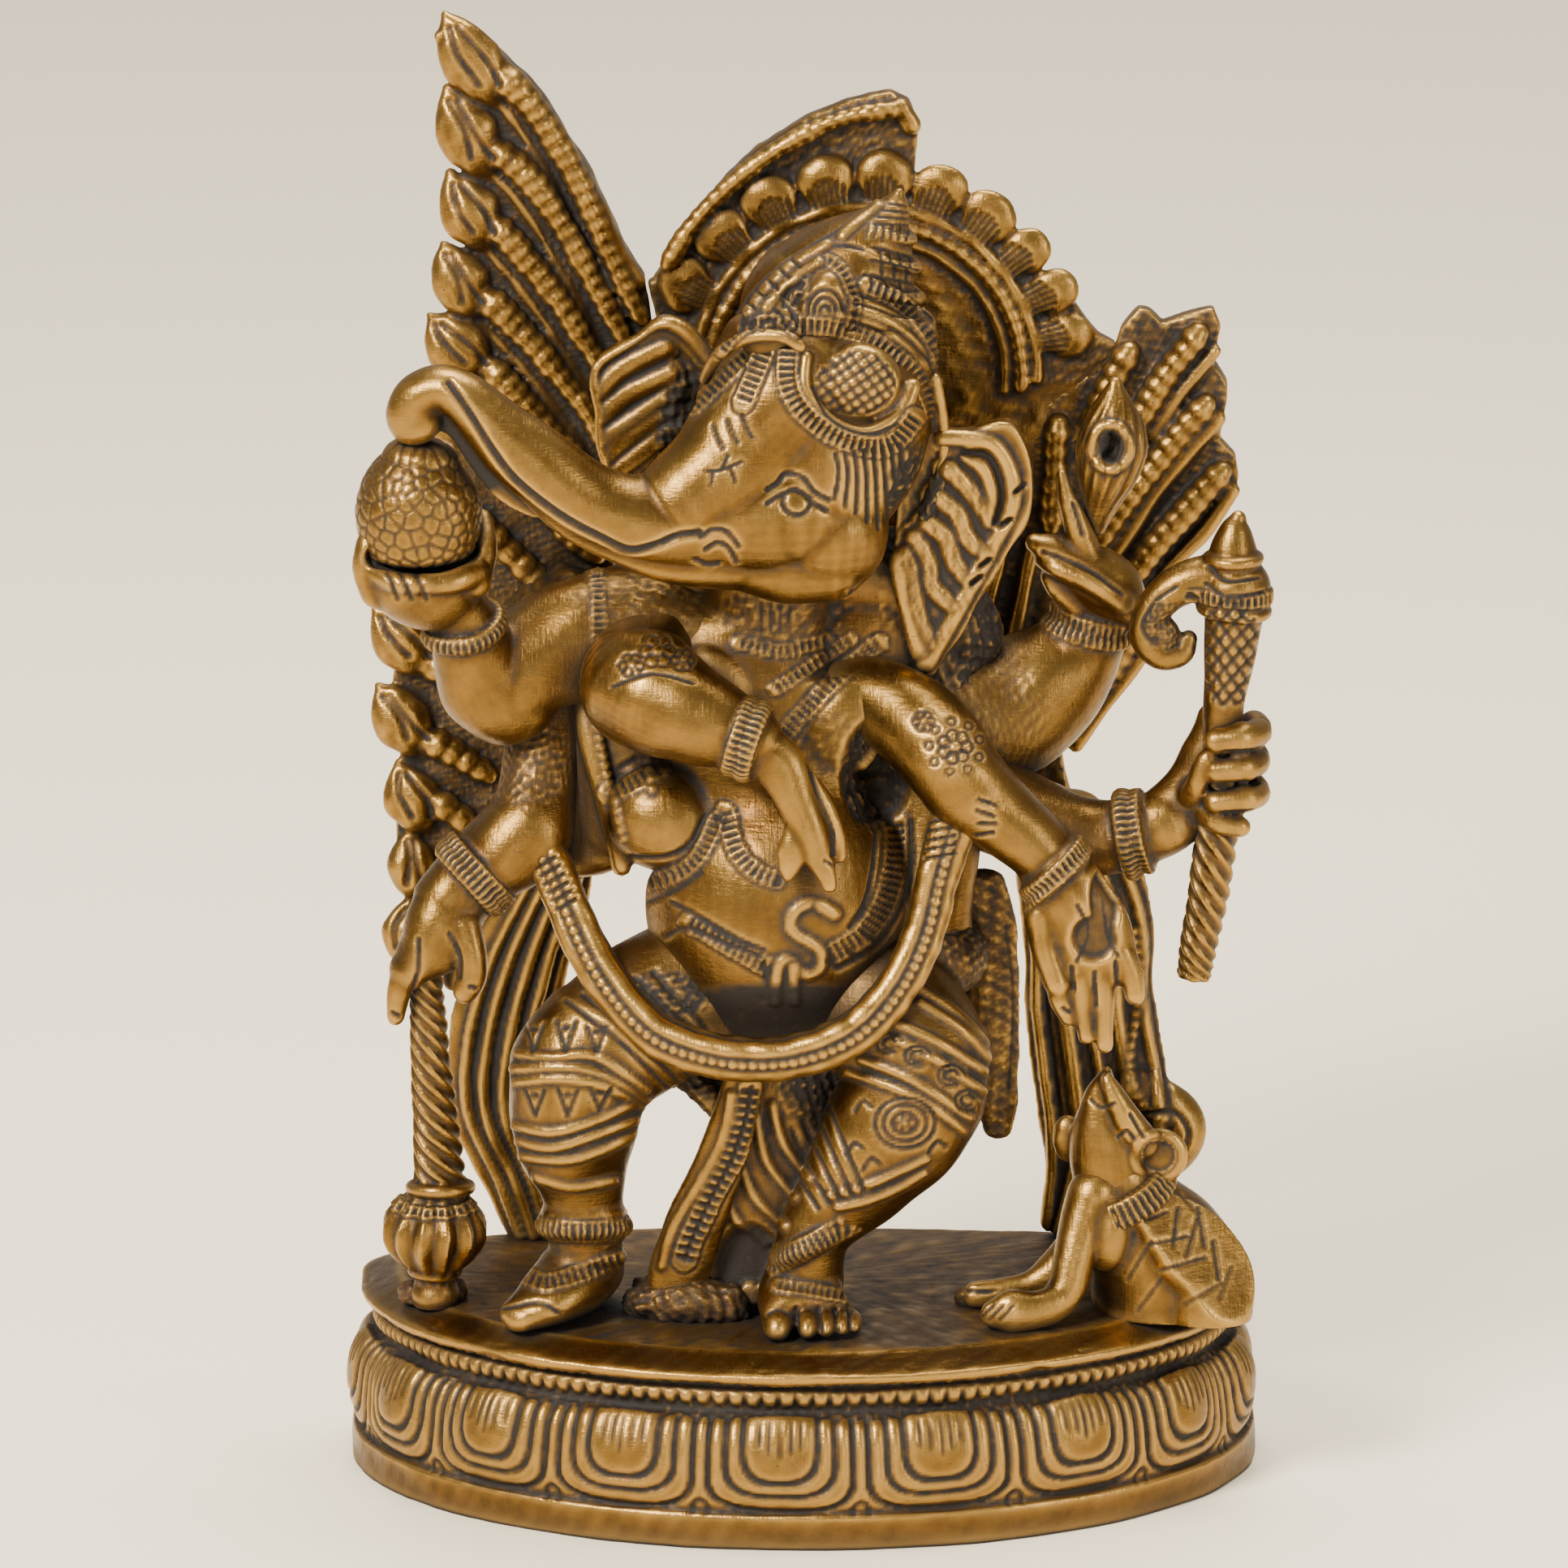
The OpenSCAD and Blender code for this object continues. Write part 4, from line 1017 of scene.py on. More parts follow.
def make_head():
    """The elephant's head, with its trunk raised to the sweets."""
    skull = [[3.4, 0, 172, 11, 11], [2.4, -1, 180, 17.4, 16.6],
             [2, 1, 189, 20.4, 18], [3, 2, 198, 19.6, 17.6], [4, 4, 205, 17, 16]]
    snout = [[1, -5, 177.6, 13.4, 12.6], [-7, -8, 177, 12.6, 12], [-15, -10.5, 176.6, 10.8, 10],
             [-22, -12.5, 176.2, 8.8, 8.6], [-29, -14, 177.2, 7.4, 7.4],
             [-36, -15, 180, 6.8, 6.8], [-43, -16, 185, 6.7, 6.4], [-49, -16, 190, 6.4, 6],
             [-54.6, -16, 195.6, 5.2, 5.2], [-58.6, -15.6, 199.2, 4.4, 4.6],
             [-62.4, -15, 200.6, 4.0, 4.4], [-65.8, -14.5, 198.9, 4.2, 4.4],
             [-66.8, -14, 195.8, 4.7, 4.7], [-66.2, -14, 193.8, 4.6, 4.5]]
    parts = [sweep(skull, 48, 8, blunt=(1, 0.2)), sweep(snout, 36, 8, blunt=(1, 0.8))]
    parts += [dome((3, -7, 173.2), (11.8, 10.6, 11.4)),
              dome((-3, -9, 177), (13, 10.4, 11)),
              sweep([[4, -9, 168, 7, 7], [-3, -10.6, 167.6, 6.4, 6], [-10, -12, 168, 4.6, 4.6],
                     [-16, -13, 168.4, 3.4, 3.6]], 24)]
    # the long slope from the brow to the root of the trunk
    parts += [sweep([[2, -6, 200, 12, 11], [-4, -7.6, 195, 12.4, 10.6],
                     [-9, -9.4, 189.4, 11.6, 9.6], [-14, -11.4, 184, 10.4, 8.8],
                     [-20, -12.8, 179.6, 9.2, 8.4]], 40),
              sweep([[-4, -10, 169, 5.2, 5], [-14, -13, 168.6, 4.6, 4.6],
                     [-22, -14.6, 169, 3.4, 3.6], [-30, -15.6, 171, 2.4, 2.8],
                     [-38, -16.4, 174.6, 1.9, 2.4], [-46, -17.4, 181, 1.7, 2.2],
                     [-53, -18, 188.6, 1.6, 2], [-58, -17.6, 195.6, 1.4, 1.8]], 20)]
    # the inside of the curl: a web across the gap between the trunk and its tip, painted dark as
    # the shade there
    parts += [slab([[-64, 199.6], [-57, 197], [-50, 186], [-44, 178.6], [-46, 177], [-52, 180],
                    [-57, 186], [-61, 192], [-66, 195]], -12, 2.4, 4),
              dome((9.4, -13.2, 200.6), (7.6, 4.6, 7.2)),
              wire([(0.4, -15.6, 206), (0.2, -17.4, 200.8), (4.4, -18.6, 195.4), (10.6, -18, 193.2),
                    (16.4, -15.2, 195.8), (18.6, -12.6, 200)], (1.2, 1.6)),
              wire([(22.6, -3, 199), (24, -2, 190), (23.4, -2, 182), (21, -3, 175)], (1.0, 1.7))]
    piece = Casting("head_and_trunk", parts, 0.42, soften=6)
    piece.knead(0.2, 12, 70)
    for line in eye_lines(-1.2, 175.9):
        piece.cut(line, 0.58, 0.5)
    for line in ([(-17.6, 169.6), (-15.5, 171), (-13.2, 170.6), (-11.2, 168)],
                 [(-16.8, 167.4), (-14.7, 168.6), (-12.8, 167.6), (-11.6, 165.2)],
                 [(-18.6, 165.6), (-16.6, 164.8), (-14.6, 165)]):
        piece.cut(line, 0.55, 0.45)
    lip = [(-60.6, 197), (-57.3, 191.8), (-53.2, 184.8), (-49.1, 179.4), (-41.7, 173.4),
           (-34.3, 169.2), (-29.8, 167.2), (-25.2, 168.2), (-21.7, 169.8), (-18, 170.4)]
    piece.cut(lip, 0.85, 0.8)
    # a plain forehead mark: three bars over a small sprig
    for k in range(3):
        x, h = -10.2 - 2.5 * k, 189.4 - 0.9 * k
        piece.cut([(x - 0.5, h + 1.9), (x + 0.4, h - 0.4), (x + 1.4, h - 2.2)], 0.45, 0.42)
    for line in ([(-16.6, 181.4), (-14, 181.6), (-10.6, 183)], [(-14, 181.6), (-13, 184.2)],
                 [(-12.6, 182), (-11.8, 179.6)], [(-15.6, 181.4), (-15.8, 179)]):
        piece.cut(line, 0.42, 0.4, bend=3)
    piece.mesh_lines((9, 197), (6.8, 5.8), 1.75, 0.35)
    piece.ladder([(-2.6, 204), (-2.8, 197.4), (-0.4, 192.2), (4.4, 188.2), (10.4, 185.8),
                  (15.4, 186.6), (19, 191)], 1.9, 1.25, 0.6)
    piece.cut([(1.6, 196.4), (4.6, 190.6), (10.6, 187.9), (16, 189.6)], 0.45, 0.4)
    piece.ladder([(-6.6, 203), (-10.4, 193.5)], 1.9, 1.25, 0.6, bend=1)
    piece.ladder([(-9.6, 202), (-19, 192.6)], 1.5, 1.3, 0.5, bend=1)
    for k in range(8):
        x = 5.4 + 1.6 * k
        strand = [(x, 184.4 + 0.25 * k), (x + 0.6, 181), (x - 0.2 + 0.3 * k, 176.4 - 1.3 * k)]
        piece.cut(strand, 0.5, 0.45, 0.9, near=2)
    # Painted shade: the gap between the cheek, the ear and the shoulder is roughened and darkened
    # as the shade there.
    nape = piece.card_mask((19.6, 171), (7, 17)) + piece.card_mask((14, 161), (9, 6))
    cheek = piece.card_mask((1.4, 171.6), (14.4, 13.4))
    piece.grit_and_shade(np.clip(nape - 2.4 * cheek, 0, 1), 0.3, 1.5, 1.3, seed=71)
    left_temple = piece.card_mask((-17.4, 198), (6, 6.4))
    piece.grit_and_shade(left_temple * 0.6, 0.12, 1.2, 0.8, seed=72)
    # Painted shade: the web inside the curl and the trunk behind it are darkened as the shadow
    # there.
    hollow = piece.card_mask((-56, 187.6), (9, 12)) * np.clip((piece.p[:, 1] + 17.2) / 1.6, 0, 1)
    piece.dark = np.maximum(piece.dark, hollow)
    piece.finish("polished_brass", "skin")


def make_crown():
    """The conical crown, in tiers of ladders, ridges and bricks."""
    cone = [[4, 4, 195, 19.6, 18], [4.6, 4, 200, 19.2, 17.6], [5.6, 4, 204.6, 17.6, 16.2],
             [5.8, 4, 210, 16.4, 14.4], [7.8, 4, 214.4, 13.4, 12], [10.2, 4, 218.6, 10.2, 9.2],
             [12.6, 4, 222.6, 6.9, 6.6], [14.2, 4, 225.4, 4.4, 4.4], [15.6, 4, 228, 2.6, 2.6],
            [16.4, 4, 230.2, 0.8, 0.8]]
    parts = [sweep(cone, 48, 6)]
    lean = (0.34, 0.1, 0.93)
    for x, z, r, thick in ((7.4, 205.6, 15, 1.3), (9.2, 210.6, 12.2, 1.1), (11, 215, 9.6, 1.0),
                           (12.6, 219.6, 7.4, 0.9), (14, 223.6, 5, 0.9)):
        parts.append(hoop((x, 3.6, z), lean, r, thick))
    # scrolls over the left brow and the tall leaf between them
    parts += [dome((-5.6, -10, 209.4), (6, 4, 6)),
              dome((3.4, -10.4, 212.4), (4.6, 3.2, 7.6), (0, 14, 0))]
    brim = [(-17, -6, 199.6), (-14.6, -11, 205), (-9.4, -14.4, 209.2), (-4, -15.8, 209.8),
            (-0.6, -16.4, 208.2)]
    parts.append(wire(brim, 1.25))
    piece = Casting("crown", parts, 0.42, soften=3)
    piece.knead(0.2, 10, 80)
    rim = [(-0.6, 207.2), (5, 206.8), (10.8, 205), (15.4, 202.2), (19.3, 198.2), (21.7, 193.4),
           (22.8, 188)]
    piece.ladder(rim, 1.7, 1.2, 0.8)
    for shift, width in ((2.6, 0.8), (4.4, 0.7), (5.9, 0.7)):
        line = [(x + shift * 0.45, h + shift * 0.9) for x, h in rim[1:]]
        piece.raise_line(line, 2, width, 0.6)
    upper = [(11, 214.4), (16, 212), (19.4, 208.4), (22.4, 203.6), (23.8, 198)]
    piece.ladder(upper, 1.7, 1.3, 0.7)
    for row, (x0, x1, h) in enumerate(((10.4, 20.6, 216.4), (11.4, 19.8, 218.9),
                                       (12, 18.8, 221.3))):
        piece.cut([(x0, h), (x1, h - 1.8)], 0.4, 0.4, bend=1)
        for k in range(4):
            x = x0 + 1.1 + (x1 - x0) * k / 4 + 0.8 * (row % 2)
            top = h - 0.3 - 1.8 * k / 4
            piece.cut([(x, top), (x + 0.2, top - 2)], 0.36, 0.4, bend=1)
    for k in range(6):
        x = 10.6 + 1.4 * k
        piece.cut([(x, 223 - 0.1 * k), (x + 0.5, 225.6 - 0.2 * k)], 0.36, 0.35, bend=1)
    for x, h, r in ((-6, 206.6, 4.8), (3.6, 209.6, 3.2)):
        for share in (1.0, 0.62, 0.25):
            piece.cut(oval(x, h, r * share, r * 1.25 * share, 9, 0.1, 3.2), 0.5, 0.5)
    piece.ladder([(8, 207.6), (8.6, 212), (6.6, 217), (3.6, 219), (0.4, 217), (-0.6, 212.6)], 1.2,
                 1.2, 0.55)
    for line in ([(-12, 207.6), (-8.6, 213.4), (-3, 218.6), (3, 222.6), (8, 225.4)],
                 [(-10.6, 206.6), (-7.4, 211.6), (-3.4, 215.4), (-0.6, 217.4)],
                 [(0.6, 220), (6, 221.6), (10, 221)]):
        piece.cut(line, 0.5, 0.45)
    for line in ([(-9.4, 209.6), (-6.4, 214), (-1.6, 218.4), (4, 221.8)],
                 [(-6.4, 210.4), (-4, 213.6), (-0.6, 216.6), (2.6, 218.6)],
                 [(6.6, 223.4), (9.6, 226.2), (12.6, 229)]):
        piece.raise_line(line, 2, 1.0, 0.7, 0.8)
    for line in ([(-3.4, 210.6), (-2.6, 213.4), (-0.4, 214.4)], [(-1.6, 211), (-0.6, 212.6)]):
        piece.cut(line, 0.5, 0.5)
    for k in range(6):
        x, h = -11 + 1.9 * k, 208.6 + 1.9 * k
        piece.cut([(x - 0.6, h + 1), (x + 0.9, h - 0.5)], 0.36, 0.35, bend=1)
    piece.ladder([(-14, 202.6), (-11.4, 206), (-7.4, 208), (-3.4, 207.8), (-1.2, 206)], 1.2, 1.2,
                 0.5)
    for k in range(4):
        piece.cut([(14.6 - 0.9 * k, 229.2 - 1.2 * k), (17.4 + 0.7 * k, 228.8 - 1.2 * k)], 0.36, 0.3,
                  bend=1)
    piece.finish("cast_brass", "cast")


def make_ears():
    """Two fan-shaped ears with rolled rims and wavy ribs."""
    far = [[-15, 198], [-19, 204.4], [-24, 206], [-29, 202.6], [-36, 198], [-35.4, 190],
           [-35.4, 184], [-33, 178.6], [-27, 175], [-18, 178], [-14, 188]]
    ribs = [[(-24, 203.6), (-31, 200), (-34.9, 196.2)], [(-23, 199), (-30, 195.6), (-34.9, 191.6)],
            [(-22, 196), (-29, 191), (-34.6, 187.2)], [(-23, 192.6), (-30, 188), (-34.4, 184)],
            [(-22, 190), (-28, 185), (-33, 181)]]
    rim = [(-16.5, 202), (-21, 207), (-25, 208.2), (-30, 205), (-36, 200), (-35.6, 192),
           (-35.2, 186), (-33.4, 180.4), (-28, 177.6)]
    piece = Casting("left_ear", [slab(far, 12, 4, 4)], 0.4, soften=4)
    hollow = piece.card_mask((-23, 192), (9, 13))
    piece.lift -= 0.9 * hollow
    for line in ribs:
        piece.raise_line(line, 2.6, 1.7, 0.8)
    piece.dark *= 0.6
    piece.raise_line(rim, 2.4, 1.2, 0.8)
    piece.grit_and_shade(piece.card_mask((-19, 188), (7, 14)), 0.35, 1.5, 1.1, seed=90)
    piece.knead(0.25, 8, 91).finish("cast_brass", "cast")

    near = [[18, 188.6], [24, 189], [28, 189], [35, 191], [38.4, 186], [39.6, 179],
            [38.4, 173.6], [35.4, 168], [30, 158.4], [25, 149.6], [21.4, 145.6], [18.6, 152],
            [16.6, 160], [15.6, 167], [16, 176]]
    piece = Casting("right_ear", [slab(near, 2, 4.6, 4)], 0.4, soften=4)
    bowl = piece.card_mask((25, 171), (9.6, 17))
    piece.lift -= 0.7 * bowl
    ribs = [[(28.4, 184.6), (31.2, 182), (32.5, 178.2), (32.6, 174)],
            [(25, 182), (28.4, 178.4), (30.5, 175.4), (32.2, 172.8)],
            [(23, 177), (26.5, 173.9), (28.1, 169.8), (31.5, 167)],
            [(21.4, 172.4), (24.4, 169.8), (25.8, 165.5), (28.4, 162.2)],
            [(19, 169.8), (21.3, 165.8), (22, 161.3), (25.8, 157.6)],
            [(17.6, 167), (18.8, 161.3), (19.6, 155.9), (22, 150.8)],
            [(16, 166), (17, 159.6), (18.6, 152.8), (20.2, 149.6)]]
    for line in ribs:
        piece.raise_line(line, 3, 1.75, 1.3)
    piece.dark *= 0.55
    rim = [(24, 187.6), (28.4, 187.2), (32.4, 186.4), (35, 182.8), (36, 178.2), (35, 173.6),
           (29.4, 162.6), (23, 150.4), (21.2, 147.4)]
    piece.raise_line(rim, 2.6, 1.5, 1.2)
    piece.cut([(27.4, 185), (31.4, 184.2), (33.4, 180.6), (33.9, 176.6), (33, 172.6)], 0.8, 0.7,
              0.8)
    for x, h in ((37, 178.6), (34.6, 172.6), (31, 165.4), (29.6, 162.4)):
        piece.cut([(x - 0.7, h - 0.6), (x + 0.8, h + 0.6)], 0.6, 0.7, bend=1)
    piece.grit_and_shade(piece.card_mask((24, 168), (11, 20)) * 0.5, 0.16, 1.3, 0.35, seed=92)
    piece.knead(0.3, 9, 93).finish("polished_brass", "skin")


def bangle(piece, mid, way, reach, half=2.4):
    """A ladder band around a wrist or an ankle."""
    piece.rungs(piece.around(mid, way, reach, half), half - 0.2, 1.25, 0.6)


def flower(piece, x, h, r=2.8, petals=6):
    """A small chased flower with a round eye."""
    for k in range(petals):
        a = 2 * math.pi * k / petals
        petal = oval(x + r * 0.62 * math.cos(a), h + r * 0.62 * math.sin(a), r * 0.36, r * 0.36, 6)
        piece.cut(petal, 0.34, 0.4, 0.8, bend=2, closed=True)
    piece.raise_line([(x - 0.1, h), (x + 0.1, h)], 1, r * 0.26, 0.4, bend=1)


def rosette(piece, x, h, r=3.0):
    """A worked flower: an eye, a crown of petals and dots around them."""
    flower(piece, x, h, r, 7)
    for k in range(9):
        a = 2 * math.pi * k / 9 + 0.3
        dot = oval(x + 1.42 * r * math.cos(a), h + 1.42 * r * math.sin(a), 0.75, 0.75, 5)
        piece.cut(dot, 0.3, 0.35, 0.7, bend=2, closed=True)


def make_left_arms():
    """The three arms on the left of the figure, and the heap of sweets."""
    upper = [[-18, 4, 150, 11.5, 10], [-28, 4, 152.4, 11, 10.5], [-38, 3, 151.4, 10.8],
             [-46, 0, 148.4, 10], [-52.6, -3, 143.4, 9]]
    fore = [[-51, -2, 142.4, 9], [-54.6, -4, 145, 8.8], [-57, -7, 151.6, 7.2],
            [-58.6, -10, 158.4, 5.4], [-60, -11, 161, 5]]
    palm = [[-59.6, -10.6, 160.4, 5.2, 5], [-62.6, -12, 163.6, 8.4, 7],
            [-65, -12.4, 166.8, 9.8, 8.8], [-65.6, -12.4, 168.6, 10.2, 9.2]]
    parts = [sweep(upper, 36, 6), sweep(fore, 32, 6), sweep(palm, 32, 6, blunt=(1, 0.1))]
    parts += [wire([(-73.4, -14, 164), (-74.8, -15, 168.6), (-74.6, -14.6, 173)], (2.9, 2.3)),
              wire([(-74.4, -15.4, 168.4), (-69, -20.4, 167.4), (-61.6, -20.4, 167.2),
                    (-56, -16, 168)], (1.8, 2.0)),
              wire([(-56, -15, 166), (-54.6, -12, 171), (-55, -8, 175.6)], (2.6, 1.6)),
              wire([(-73.6, -10, 170), (-69, -3.6, 171), (-61, -3.6, 171), (-56, -8, 170)], 2.0)]
    parts.append(hoop((-58.4, -9.4, 156.6), (-1.6, -3, 8), 6.0, 1.5))
    piece = Casting("raised_left_arm", parts, 0.48, soften=4)
    piece.knead(0.3, 12, 100)
    bangle(piece, (-58.4, -9.4, 156.6), (-1.6, -3, 8), 9, 1.9)
    bangle(piece, (-36, 3, 151.6), (-10, -1, 0), 13.5, 1.6)
    for x in (-71.4, -69, -66.4):
        piece.cut([(x, 163.4), (x + 1.8, 158.6)], 0.5, 0.4, bend=1)
    piece.cut([(-73.4, 166.2), (-68, 165.4), (-62, 165.4), (-57.4, 167)], 2.0, 1.8, 1.0)
    piece.grit_and_shade(piece.card_mask((-26, 158), (16, 7)) * 0.6, 0.15, 1.4, 0.5, seed=101)
    piece.finish("cast_brass", "cast")

    heap = [[-65.8, -12, 171.4, 9.2, 8.6], [-65.9, -12, 174.6, 10.2, 9.2],
            [-66, -12, 178.6, 10.5, 9.4], [-66, -12, 183, 9.2, 8.6], [-65.6, -12, 187, 6.4, 6]]
    piece = Casting("sweet_heap", [sweep(heap, 36, 6, blunt=(0.3, 0.6))], 0.4, soften=3)
    rng = np.random.default_rng(102)
    height, spin = rng.uniform(168, 193, 1500), rng.uniform(0, 2 * math.pi, 1500)
    seeds = np.empty((0, 3))
    for z, a in zip(height, spin):
        spot = np.array([-66 + 11 * math.cos(a), -12 + 9.6 * math.sin(a), z])
        nearest = piece.p[np.argmin(np.sum((piece.p - spot) ** 2, axis=1))]
        if not len(seeds) or np.min(np.sum((seeds - nearest) ** 2, axis=1)) > 1.75 ** 2:
            seeds = np.vstack([seeds, nearest])
    first = np.full(piece.count, 1e9)
    second = np.full(piece.count, 1e9)
    for q in seeds:
        gap = np.linalg.norm(piece.p - q, axis=1)
        second = np.minimum(second, np.maximum(first, gap))
        first = np.minimum(first, gap)
    edge = np.clip((second - first) / 0.7, 0, 1)
    piece.lift += 0.45 * np.sqrt(edge)
    piece.dark = np.maximum(piece.dark, 0.62 * (1 - edge) ** 1.5)
    piece.finish("polished_brass", "cast")

    arm = [[-26, -2, 150, 8.5], [-28.5, -8, 147, 10.4], [-26, -13.5, 145.6, 10.4],
           [-19.5, -17.6, 143.4, 8.8], [-13, -20.2, 141.2, 7], [-8.6, -21.4, 139.8, 5.6]]
    hand = [[-9, -21.4, 139.4, 5], [-5.6, -22.6, 137, 4.8, 3.8], [-3, -23.6, 133.4, 4.2, 3],
            [-1, -24.4, 129, 3.4, 2.4], [1.4, -25, 123, 2.9, 2.1], [3.6, -25.2, 117.4, 2.1, 1.7],
            [4.4, -25, 114.6, 1.5, 1.3]]
    parts = [sweep(arm, 36, 6), sweep(hand, 24, 6)]
    parts += [wire([(-1, -22.6, 134), (3, -22.8, 129), (5.4, -23, 124), (6, -23, 119.6)],
                   (2.4, 1.6))]
    parts.append(sweep([[-2.4, -25, 124.6, 1.2], [-2, -25.4, 121.6, 2.7, 1.6],
                        [-2.6, -25.2, 118.4, 2.1, 1.5], [-2.8, -25, 116.4, 1.1, 1.1]], 16))
    parts += [hoop((-8.6, -21.4, 139.4), (8, -1.6, -2.4), 5.4, 1.7),
              hoop((-11, -21, 140.2), (8, -1.6, -2.4), 5.8, 1.2)]
    piece = Casting("crossing_arm", parts, 0.42, soften=4)
    piece.knead(0.2, 10, 104)
    bangle(piece, (-9.6, -21.2, 139.7), (8, -1.6, -2.4), 9, 2.7)
    flower(piece, -25, 149.6, 3.2)
    flower(piece, -29.6, 147, 2.3)
    flower(piece, -20.6, 148, 2.1)
    piece.cut([(-33, 143), (-26, 145.4), (-19, 143.8)], 0.45, 0.35)
    piece.cut([(1, 129), (2.6, 123.4), (4.8, 117.6), (5, 113)], 0.5, 0.5)
    piece.cut([(3.6, 112), (4.8, 111.4)], 0.35, 0.3, bend=1)
    piece.finish("polished_brass", "skin")

    arm = [[-43, 7, 141, 7.6], [-44.6, 3, 133, 7], [-46, -1, 125, 6.8], [-48, -4, 118.6, 8.2],
           [-53, -5.4, 114, 7.6], [-58, -6.4, 110.4, 6.4], [-61.4, -7.4, 107, 6.2]]
    back_of_hand = [[-59.6, -7, 108.6, 6, 5.4], [-62, -9, 104, 6.6, 5.4],
                    [-64.5, -10, 99.5, 6, 5], [-68, -10.5, 95.5, 3.6, 4.4]]
    parts = [sweep(arm, 32, 6), sweep(back_of_hand, 28, 6)]
    parts += [wire([(-67.6, -11, 97.6), (-69.8, -11, 92), (-70.4, -10.4, 86.8)], (2.7, 1.6)),
              wire([(-58.8, -11.4, 103.6), (-57.2, -12.8, 98.6), (-57, -13, 94.8),
                    (-58.2, -12.6, 92.4)], (3.2, 2.3)),
              wire([(-61.4, -4, 102), (-60.2, -2.6, 96), (-60.6, -2.6, 91)], (2.6, 2.0))]
    parts += [hoop((-57.4, -6.4, 110.6), (-8, -2, -7), 6.6, 1.6),
              hoop((-55.6, -6, 112.2), (-8, -2, -7), 6.9, 1.2)]
    piece = Casting("lower_left_arm", parts, 0.42, soften=4)
    piece.knead(0.22, 10, 106)
    bangle(piece, (-56.8, -6.2, 111.2), (-8, -2, -7), 10, 2.7)
    for line in ([(-61, 99), (-59.4, 95), (-59.4, 91)], [(-66.4, 98), (-66.4, 92.6), (-67.6, 88)],
                 [(-57.6, 89.4), (-56.4, 89)], [(-71, 84.6), (-69.8, 84)],
                 [(-45, 112), (-42.6, 109), (-41.4, 106)]):
        piece.cut(line, 0.5, 0.5)
    piece.grit_and_shade(piece.card_mask((-48, 130), (9, 10)) * 0.7, 0.2, 1.4, 0.7, seed=107)
    piece.finish("cast_brass", "cast")


